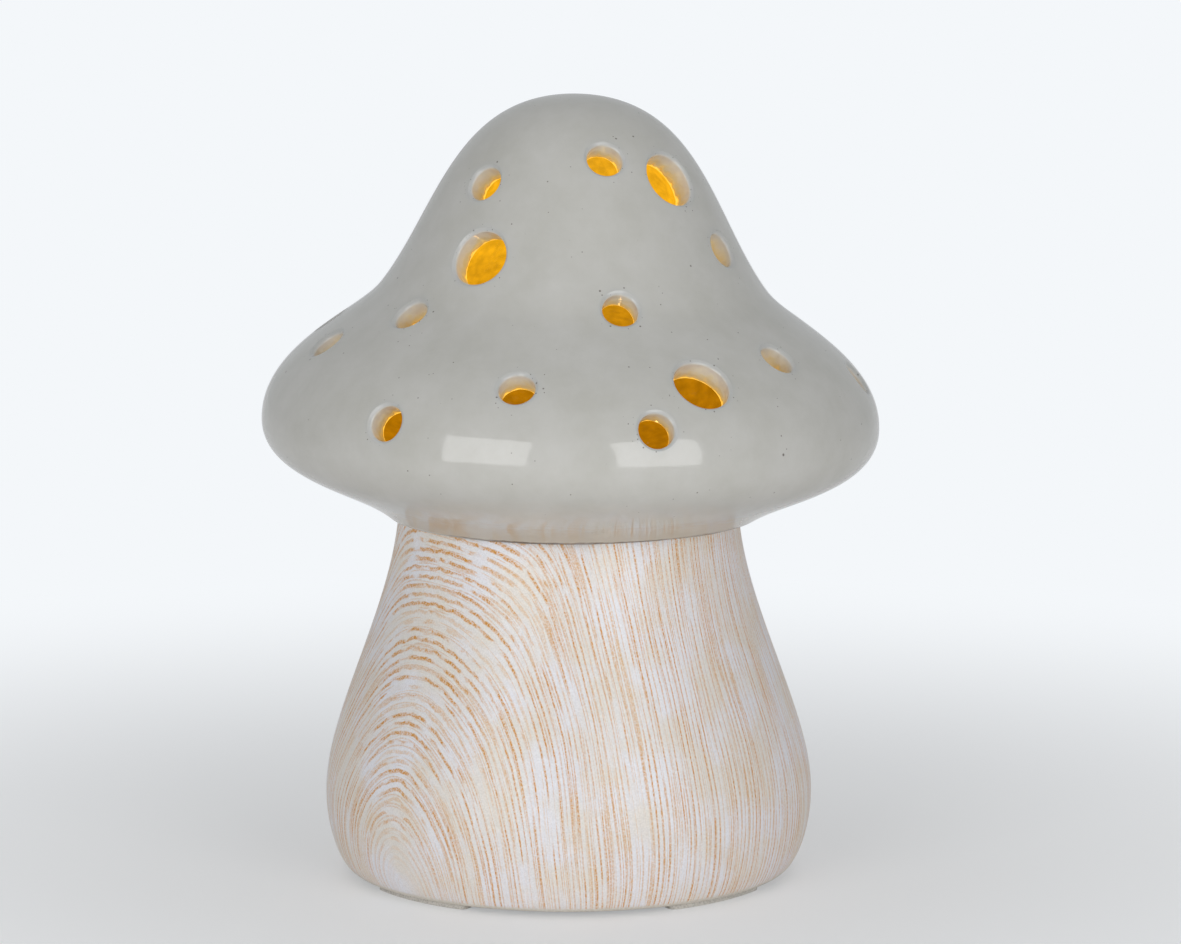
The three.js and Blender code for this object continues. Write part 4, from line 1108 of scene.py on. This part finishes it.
# %% Battery door
DOOR_CORNER = 1.2
DOOR_TOP_Z = 3.2
PLATE_HALF = 12.4
TAB_WIDTH = 8.0
HINGE_HALF = 19.0
HINGE_PIN_RADIUS = 0.55
HINGE_PIN_REACH = 1.8
HINGE_PIN_RISE = 1.3
KNUCKLE_RADIUS = 0.9
WEB_REACH = 1.0
RIB_WIDTH = 1.2
RIB_HALF = 16.65
GROOVE_RADIUS = 0.45
GROOVE_HALF = 8
GROOVE_FIRST_Y = 9
GROOVE_SPACING = 1.6
GROOVE_COUNT = 6
SCREW_CLEARANCE = 0.2
SCREW_RADIUS = 1.1
SCREW_HEAD_RADIUS = 2.1
SCREW_HEAD_RIM = 0.2

door_low, door_high = box_mm("battery_door")
screw_low, screw_high = box_mm("door_screw")
screw_y = (screw_low.y + screw_high.y) / 2
pivot_y = door_low.y + KNUCKLE_RADIUS
pivot_z = door_low.z + HINGE_PIN_RISE


def countersunk(name, clearance, low, high):
    """The outline of a countersunk screw, turned about the screw's place."""
    head, shank = SCREW_HEAD_RADIUS + clearance, SCREW_RADIUS + clearance
    rim = flange_z + SCREW_HEAD_RIM
    profile = [(0, low), (head, low), (head, rim), (shank, rim + head - shank), (shank, high),
               (0, high)]
    piece = lathe(name, profile, ROUND_STEPS, closed=False)
    edit(piece, lambda: bpy.ops.transform.translate(value=(0, screw_y * MM, 0)))
    return piece


door = block("battery_door_moulded", (door_low.x, -PLATE_HALF, door_low.z),
             (door_high.x, PLATE_HALF, DOOR_TOP_Z))
choose(door, "EDGE", lambda edge: climb(door, edge) > MM,
       lambda: bpy.ops.mesh.bevel(offset=DOOR_CORNER * MM, segments=6))
for side in (-1, 1):
    edit(door, lambda: bpy.ops.mesh.bisect(plane_co=(side * TAB_WIDTH / 2 * MM, 0, 0),
                                           plane_no=(1, 0, 0)))
choose(door, "FACE",
       lambda face: face.normal.y > 0.99 and abs(face.center.x) < TAB_WIDTH / 4 * MM,
       lambda: bpy.ops.mesh.extrude_region_move(
           TRANSFORM_OT_translate={"value": (0, (door_high.y - PLATE_HALF) * MM, 0)}))
edit(door, sort_faces)

knuckle = rod("knuckle", KNUCKLE_RADIUS, (-HINGE_HALF, pivot_y, pivot_z),
              (HINGE_HALF, pivot_y, pivot_z))
web = block("web", (-HINGE_HALF, pivot_y, pivot_z - KNUCKLE_RADIUS),
            (HINGE_HALF, -PLATE_HALF + WEB_REACH, DOOR_TOP_Z - OVERLAP / 2))
pin_half = HINGE_HALF + HINGE_PIN_REACH
pins = rod("pins", HINGE_PIN_RADIUS, (-pin_half, pivot_y, pivot_z), (pin_half, pivot_y, pivot_z))
rib = block("rib", (-RIB_HALF, -RIB_WIDTH / 2, DOOR_TOP_Z - OVERLAP),
            (RIB_HALF, RIB_WIDTH / 2, door_high.z))
combine(door, "UNION", knuckle, web, pins, rib)

hole = countersunk("hole", SCREW_CLEARANCE, flange_z - OVERLAP, DOOR_TOP_Z + CLEAR)
groove_places = [GROOVE_FIRST_Y - i * GROOVE_SPACING for i in range(GROOVE_COUNT)]
grooves = [rod("groove", GROOVE_RADIUS, (-GROOVE_HALF, y, door_low.z), (GROOVE_HALF, y, door_low.z))
           for y in groove_places]
combine(door, "DIFFERENCE", hole, *grooves)
soften(door, 0.12)
dress(door, "door", "white_plastic", white_abs, "battery_door")
print("battery door:", count_triangles(door), "triangles")

# %% [markdown]
# ## Door screw
# A small countersunk screw with a cross recess keeps the door shut. It is turned from a
# profile whose zigzag is the thread, and two tapered blades press the cross into its head.

# %% Screw with thread and cross recess
THREAD_PITCH = 0.6
THREAD_DEPTH = 0.22
CROSS_LENGTH = 2.5
CROSS_WIDTH = 0.55
CROSS_DEPTH = 1.1
CROSS_TAPER = 0.45
HEAD_DEPTH = 1.1
HEAD_CHAMFER = (0.12, 0.1)
THREAD_START = 2.2
THREAD_RUNOUT = 1.6
TIP_RADIUS = 0.7
TIP_LENGTH = 0.6
SCREW_STEPS = 64

head_z, tip_z = screw_low.z, screw_high.z
thread = []
level = flange_z + THREAD_START
while level < tip_z - THREAD_RUNOUT:
    thread += [(SCREW_RADIUS - THREAD_DEPTH, level), (SCREW_RADIUS, level + THREAD_PITCH / 2)]
    level += THREAD_PITCH
head = [(0, head_z), (SCREW_HEAD_RADIUS - HEAD_CHAMFER[0], head_z),
        (SCREW_HEAD_RADIUS, head_z + HEAD_CHAMFER[1]), (SCREW_RADIUS, head_z + HEAD_DEPTH)]
tip = [(TIP_RADIUS, tip_z - TIP_LENGTH), (0, tip_z)]
screw = lathe("door_screw_turned", head + thread + tip, SCREW_STEPS, closed=False)
edit(screw, lambda: bpy.ops.transform.translate(value=(0, screw_y * MM, 0)))
for across, along in ((CROSS_LENGTH, CROSS_WIDTH), (CROSS_WIDTH, CROSS_LENGTH)):
    blade = block("blade", (-across / 2, screw_y - along / 2, head_z - 2 * OVERLAP),
                  (across / 2, screw_y + along / 2, head_z + CROSS_DEPTH))
    choose(blade, "FACE", lambda face: face.normal.z > 0.9,
           lambda: bpy.ops.transform.resize(value=(CROSS_TAPER, CROSS_TAPER, 1),
                                            center_override=(0, screw_y * MM, 0)))
    combine(screw, "DIFFERENCE", blade)
edit(screw, lambda: bpy.ops.mesh.remove_doubles(threshold=WELD * MM))
smooth(screw, 30)
dress(screw, "screw", "screw_steel", zinc_steel, "door_screw")
print("door screw:", len(thread) // 2, "turns of thread,", count_triangles(screw), "triangles")

# %% [markdown]
# ## Slide switch
# The slider is a nylon knob on a carriage. Grooves across the knob let a fingertip move it.

# %% Slider
KNOB_HALF_LENGTH = 1.1
KNOB_HALF_WIDTH = 0.8
SLIDER_GROOVES = [-0.6, 0.0, 0.6]
SLIDER_GROOVE_HALF = 0.12
SLIDER_GROOVE_DEPTH = 0.2
CARRIAGE_HEIGHT = 1.4

slider_x = (slider_low.x + slider_high.x) / 2
seat_z = slider_high.z - CARRIAGE_HEIGHT
slider = block("switch_slider_moulded", (slider_low.x, slider_low.y, seat_z), slider_high)
knob = block("knob", (slider_x - KNOB_HALF_LENGTH, switch_y - KNOB_HALF_WIDTH, slider_low.z),
             (slider_x + KNOB_HALF_LENGTH, switch_y + KNOB_HALF_WIDTH, seat_z + OVERLAP))
combine(slider, "UNION", knob)
combine(slider, "DIFFERENCE", *[
    block("slider_groove",
          (slider_x + shift - SLIDER_GROOVE_HALF, switch_y - CLEAR, slider_low.z - CLEAR / 2),
          (slider_x + shift + SLIDER_GROOVE_HALF, switch_y + CLEAR,
           slider_low.z + SLIDER_GROOVE_DEPTH))
    for shift in SLIDER_GROOVES
])
soften(slider, 0.06)
dress(slider, "slider", "black_plastic", black_nylon, "switch_slider")
print("slider:", count_triangles(slider), "triangles")

# %% [markdown]
# ## Foot pads and gasket
# Four foam pads keep the ceramic off the table. Each is a piece of a ring, cut from a sheet by
# a steel rule, so its edges are a little drawn in. One is modelled, and the rest are copies.

# %% Foam pads
PAD_WIDTH = 3.6
PAD_SWEEP = math.radians(34)
PAD_SPIN_STEPS = 12
PAD_END_ROUND = 1.2
PAD_COUNT = 4

pad_middle = (RECESS_RADIUS + FOOT_RADIUS) / 2
inner, outer = pad_middle - PAD_WIDTH / 2, pad_middle + PAD_WIDTH / 2
pick()
bpy.ops.mesh.primitive_plane_add(size=1)
pad = named("foot_pad_cut_1")
for vertex, (radius, height) in zip(pad.data.vertices, [(inner, 0), (outer, 0), (inner, FOOT_Z),
                                                        (outer, FOOT_Z)]):
    vertex.co = (radius * MM, 0, height * MM)
edit(
    pad,
    lambda: bpy.ops.mesh.delete(type="ONLY_FACE"),
    lambda: bpy.ops.mesh.select_all(action="SELECT"),
    lambda: bpy.ops.mesh.spin(steps=PAD_SPIN_STEPS, angle=PAD_SWEEP, center=(0, 0, 0),
                              axis=(0, 0, 1)),
    lambda: bpy.ops.mesh.select_all(action="SELECT"),
    lambda: bpy.ops.mesh.fill_holes(sides=0),
    lambda: bpy.ops.mesh.select_all(action="SELECT"),
    lambda: bpy.ops.mesh.normals_make_consistent(inside=False),
    sort_faces,
)
pad_turns = [math.atan2(vertex.co.y, vertex.co.x) for vertex in pad.data.vertices]
first_end, last_end = min(pad_turns), max(pad_turns)


def at_pad_end(edge):
    """An upright edge at either end of the pad."""
    turn = pad_turns[edge.vertices[0]]
    return climb(pad, edge) > FOOT_Z / 2 * MM and min(turn - first_end, last_end - turn) < 1e-3


choose(pad, "EDGE", at_pad_end,
       lambda: bpy.ops.mesh.bevel(offset=PAD_END_ROUND * MM, segments=5))
soften(pad, 0.2)
pads = [pad] + [copy_of(pad, f"foot_pad_cut_{index + 1}") for index in range(1, PAD_COUNT)]
for index, piece in enumerate(pads):
    middle_turn = math.radians(45) - (first_end + last_end) / 2
    piece.rotation_euler.z = middle_turn + index * math.tau / PAD_COUNT
    settle(piece)
    dress(piece, "lamp", "foam", pad_foam, f"foot_pad_{index + 1}")
print("foot pads:", PAD_COUNT, "of", count_triangles(pad), "triangles each")

# %% [markdown]
# A ring of the same foam seals the module's flange against the foot. It is turned, not cut.

# %% Gasket
GASKET_CLEARANCE = 0.2
GASKET_STEPS = 96

gasket_low, gasket_high = box_mm("module_gasket")
gasket_bore = BORE_RADIUS + GASKET_CLEARANCE
gasket_profile = [(gasket_bore, gasket_low.z), (gasket_high.x, gasket_low.z),
                  (gasket_high.x, gasket_high.z), (gasket_bore, gasket_high.z)]
gasket = lathe("gasket_cut", gasket_profile, GASKET_STEPS, closed=True)
soften(gasket, 0.1)
dress(gasket, "lamp", "foam", pad_foam, "module_gasket")
print("gasket:", count_triangles(gasket), "triangles")

# %% [markdown]
# ## Cells
# Two AAA cells show when the door is open. A cell is a drawn steel can in a printed sleeve
# that is shrunk over its shoulders, with a nub at one end and a flat bare disc at the other.

# %% Cells with sleeve and bare ends
CELL_RADIUS = 5.25
CELL_HALF = 22.25
NUB_RADIUS = 1.9
NUB_HEIGHT = 0.8
SLEEVE_EDGE = 4.1
CELL_STEPS = 64


def cell_sleeve():
    """A glossy printed sleeve: a slate green body, a pale band at the nub, and thin rules."""
    material, tree, shader, place = start_material("printed_shrink_sleeve", "#3F5A55", 0.24,
                                                   Coat_Weight=0.5)
    along = add_node(tree, "Attribute", attribute_name="along_cell").outputs["Fac"]
    bands = add_node(tree, "ValToRGB", [along], [
        (0.0, "#2F4541"), (0.12, "#D5D2C8"), (0.13, "#3F5A55"), (0.7, "#D5D2C8"),
        (0.71, "#3F5A55"), (0.73, "#C9C6BC")])
    bands.color_ramp.interpolation = "CONSTANT"
    scuffs = add_node(tree, "Mapping", {"Vector": place, "Scale": (14, 1, 1)})
    scuffs = add_node(tree, "TexNoise", {"Vector": scuffs, "Scale": 1 / (8 * MM), "Detail": 5.0})
    worn = add_node(tree, "MapRange", [scuffs, 0.55, 0.72, 0.0, 0.18])
    colour = add_node(tree, "MixRGB", [worn, bands, linear("#8A8883")])
    feed(shader, Base_Color=colour)
    gloss = add_node(tree, "MapRange", [scuffs, 0.4, 0.7, 0.2, 0.45])
    feed(shader, Roughness=gloss)
    return material


cell_profile = [
    (0, -CELL_HALF + 0.15), (3.6, -CELL_HALF + 0.15), (3.8, -CELL_HALF), (4.7, -CELL_HALF),
    (5.05, -CELL_HALF + 0.12), (CELL_RADIUS, -CELL_HALF + 0.5),
    (CELL_RADIUS, CELL_HALF - NUB_HEIGHT - 0.5), (5.05, CELL_HALF - NUB_HEIGHT - 0.12),
    (4.7, CELL_HALF - NUB_HEIGHT), (SLEEVE_EDGE, CELL_HALF - NUB_HEIGHT),
    (3.9, CELL_HALF - NUB_HEIGHT - 0.15), (NUB_RADIUS + 0.1, CELL_HALF - NUB_HEIGHT - 0.15),
    (NUB_RADIUS, CELL_HALF - NUB_HEIGHT), (NUB_RADIUS, CELL_HALF - 0.25),
    (NUB_RADIUS - 0.25, CELL_HALF), (0, CELL_HALF),
]
sleeve = cell_sleeve()
upright_cell = lathe("upright_cell", cell_profile, CELL_STEPS, closed=False)
upright_cell.data.materials.append(sleeve)
upright_cell.data.materials.append(nickel_steel)
heights = [0.5 + vertex.co.z / MM / CELL_HALF / 2 for vertex in upright_cell.data.vertices]
along_cell = upright_cell.data.attributes.new("along_cell", "FLOAT", "POINT")
along_cell.data.foreach_set("value", heights)
for face in upright_cell.data.polygons:
    middle = face.center / MM
    face.material_index = int(math.hypot(middle.x, middle.y) < SLEEVE_EDGE)
smooth(upright_cell, 40)
for node, turn in (("battery_1", -math.pi / 2), ("battery_2", math.pi / 2)):
    cell_low, cell_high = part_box(node)
    piece = copy_of(upright_cell, node + "_sleeved")
    piece.rotation_euler.y = turn
    piece.location = (Vector(cell_low) + Vector(cell_high)) / 2
    settle(piece)
    enrol(piece, "lamp", "cell_jacket", node)
print("cells: 2 of", count_triangles(upright_cell), "triangles each")
bpy.data.objects.remove(upright_cell)

# %% [markdown]
# ## Contact springs
# Each spring is a tapered coil of round wire, wound on a mandrel, with the wide turns at its
# plate. A curve follows the wire's middle, and its bevel gives the wire its thickness.

# %% Contact springs
SPRING_WIRE = 0.5
SPRING_TURNS = 4
SPRING_WIDE_RADIUS = 3.5
SPRING_NARROW_RADIUS = 2.2
POINTS_PER_TURN = 28


def coil_spring(name, node, wide_end):
    """A tapered coil along X in the box of its CAD node, wide at the high or the low end."""
    low, high = box_mm(node)
    middle = (low + high) / 2
    steps = SPRING_TURNS * POINTS_PER_TURN
    curve = bpy.data.curves.new(name, "CURVE")
    curve.dimensions = "3D"
    curve.bevel_depth = SPRING_WIRE / 2 * MM
    curve.bevel_resolution = 4
    curve.use_fill_caps = True
    line = curve.splines.new("POLY")
    line.points.add(steps + 2)
    run = high.x - low.x - 2 * SPRING_WIRE
    for index, point in enumerate(line.points):
        share = min(max(index - 1, 0), steps) / steps
        radius = SPRING_WIDE_RADIUS + (SPRING_NARROW_RADIUS - SPRING_WIDE_RADIUS) * share
        angle = math.tau * SPRING_TURNS * share
        x = high.x - middle.x - SPRING_WIRE - run * share
        if index == 0:
            x = high.x - middle.x
        if index == steps + 2:
            x = low.x - middle.x
        y = radius * math.cos(angle)
        offset = Vector((x * wide_end, y * wide_end, radius * math.sin(angle)))
        point.co = (*(middle + offset) * MM, 1)
    piece = bpy.data.objects.new(name, curve)
    bpy.context.collection.objects.link(piece)
    pick(piece)
    bpy.ops.object.convert(target="MESH")
    piece = named(name)
    smooth(piece, 50)
    dress(piece, "lamp", "nickel_plate", nickel_steel, node)
    print(name, "has", count_triangles(piece), "triangles")


coil_spring("bridge_spring_wound", "bridge_spring", 1)
coil_spring("negative_spring_wound", "negative_spring", -1)

# %% [markdown]
# ## Finishes inside the module
# The small parts inside keep their CAD solids. Each gets the finish of the real thing: solder
# mask over glass fibre, moulded chip resin, tinned ends, tinted epoxy and soft wire insulation.

# %% Finishes inside the module
def bond_line():
    """Cured grey epoxy with trapped dust: dull, and darker where it is thick."""
    material, tree, shader, place = start_material("cured_grey_epoxy", "#3D3833", 0.6)
    dust = add_node(tree, "TexNoise", {"Vector": place, "Scale": 1 / (1.5 * MM), "Detail": 4.0})
    colour = add_node(tree, "ValToRGB", [dust], [(0.35, "#332F2B"), (0.7, "#47413B")])
    feed(shader, Base_Color=colour)
    bump = add_node(tree, "Bump", {"Height": dust, "Strength": 0.4, "Distance": 0.1 * MM})
    feed(shader, Normal=bump)
    return material


def solder_mask():
    """Green lacquer over woven glass, with brighter copper tracks under it."""
    material, tree, shader, place = start_material("green_solder_mask", "#1F6B3A", 0.3,
                                                   Coat_Weight=0.3)
    weave = add_node(tree, "TexWave", {"Vector": place, "Scale": 1 / (2.4 * MM)},
                     wave_profile="TRI")
    tracks = add_node(tree, "TexBrick", {
        "Vector": place, "Scale": 1 / (3.2 * MM), "Mortar Size": 0.05,
        "Color1": linear("#1E6537"), "Color2": linear("#1C6135"), "Mortar": linear("#37925A")})
    shade = add_node(tree, "MapRange", [weave.outputs["Fac"], 0.0, 1.0, 0.94, 1.04])
    colour = add_node(tree, "VectorMath", {0: tracks, "Scale": shade}, operation="SCALE")
    feed(shader, Base_Color=colour)
    return material


def chip_resistor():
    """A black film between two tinned ends, told apart by the place along the part."""
    material, tree, shader, place = start_material("thick_film_resistor", "#1A1A1C", 0.45)
    low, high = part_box("resistor")
    along = add_node(tree, "SeparateXYZ", [place]).outputs["X"]
    middle = (low[0] + high[0]) / 2
    away = add_node(tree, "Math", [along, middle], operation="SUBTRACT")
    away = add_node(tree, "Math", [away], operation="ABSOLUTE")
    tinned = add_node(tree, "Math", [away, (high[0] - low[0]) * 0.36], operation="GREATER_THAN")
    haze = add_node(tree, "TexNoise", {"Vector": place, "Scale": 1 / (0.5 * MM), "Detail": 3.0})
    film = add_node(tree, "ValToRGB", [haze], [(0.3, "#151517"), (0.7, "#26262A")])
    colour = add_node(tree, "MixRGB", [tinned, film, linear("#C4C6C6")])
    feed(shader, Base_Color=colour)
    feed(shader, Metallic=tinned)
    return material


def lamp_epoxy():
    """Amber tinted epoxy, brightest round the chip in the middle of the dome."""
    material, tree, shader, place = start_material("amber_tinted_epoxy", "#E08A18", 0.12,
                                                   IOR=1.5, Transmission_Weight=0.4)
    low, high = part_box("led_lamp")
    chip = (0, 0, low[2] + (high[2] - low[2]) * 0.4)
    away = add_node(tree, "VectorMath", [place, chip], operation="DISTANCE").outputs["Value"]
    heat = add_node(tree, "MapRange", [away, 0.0, 5 * MM])
    glow = add_node(tree, "ValToRGB", [heat], [(0.0, "#FFF0B8"), (0.4, "#FFC247"),
                                              (1.0, "#D07A10")])
    feed(shader, Emission_Color=glow)
    shader.inputs["Emission Strength"].default_value = 2.0
    return material


def wire_sheath(name, light, dark):
    """Soft PVC insulation: smooth, a little waxy, and smudged by fingers."""
    material, tree, shader, place = start_material(name, light, 0.38, Coat_Weight=0.15)
    smudge = add_node(tree, "TexNoise", {"Vector": place, "Scale": 1 / (3 * MM), "Detail": 3.0})
    colour = add_node(tree, "ValToRGB", [smudge], [(0.3, dark), (0.7, light)])
    feed(shader, Base_Color=colour)
    return material


chip_resin = moulded_plastic("moulded_chip_resin", "#2A2A2C", "#222224", 0.55)
red_pvc = wire_sheath("red_pvc_sheath", "#B3261E", "#9C1F19")
black_pvc = wire_sheath("black_pvc_sheath", "#232325", "#1A1A1C")
finishes = [
    (bond_line(), ["bond_ring"]),
    (white_abs, ["module_cover"]),
    (zinc_steel, ["cover_screw_1", "cover_screw_2", "cover_screw_3", "switch_body"]),
    (nickel_steel, ["positive_contact", "negative_contact", "bridge_contact", "timer_crystal"]),
    (solder_mask(), ["circuit_board"]),
    (chip_resin, ["timer_chip"]),
    (chip_resistor(), ["resistor"]),
    (lamp_epoxy(), ["led_lamp"]),
    (red_pvc, ["lamp_wire_red", "battery_wire_red"]),
    (black_pvc, ["lamp_wire_black", "battery_wire_black"]),
]
bare = {name for name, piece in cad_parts.items() if not piece.hide_render}
for material, nodes in finishes:
    for node in nodes:
        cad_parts[node].material_slots[0].material = material
    bare -= set(nodes)
print("CAD nodes that show without a finish:", sorted(bare))

# %% [markdown]
# ## Lamp light
# The lamp is lit, so a small amber lamp shines where its chip sits.

# %% Lamp light
CHIP_Z = 42
CHIP_GLOW_RADIUS = 4
CHIP_POWER = 0.005

bpy.ops.object.light_add(type="POINT", location=(0, 0, CHIP_Z * MM))
chip_lamp = bpy.context.object
chip_lamp.name = "amber_chip"
chip_lamp.data.color = linear("#FFCE74")[:3]
chip_lamp.data.energy = CHIP_POWER
chip_lamp.data.shadow_soft_size = CHIP_GLOW_RADIUS * MM
print("lamp's light at", CHIP_Z, "mm")
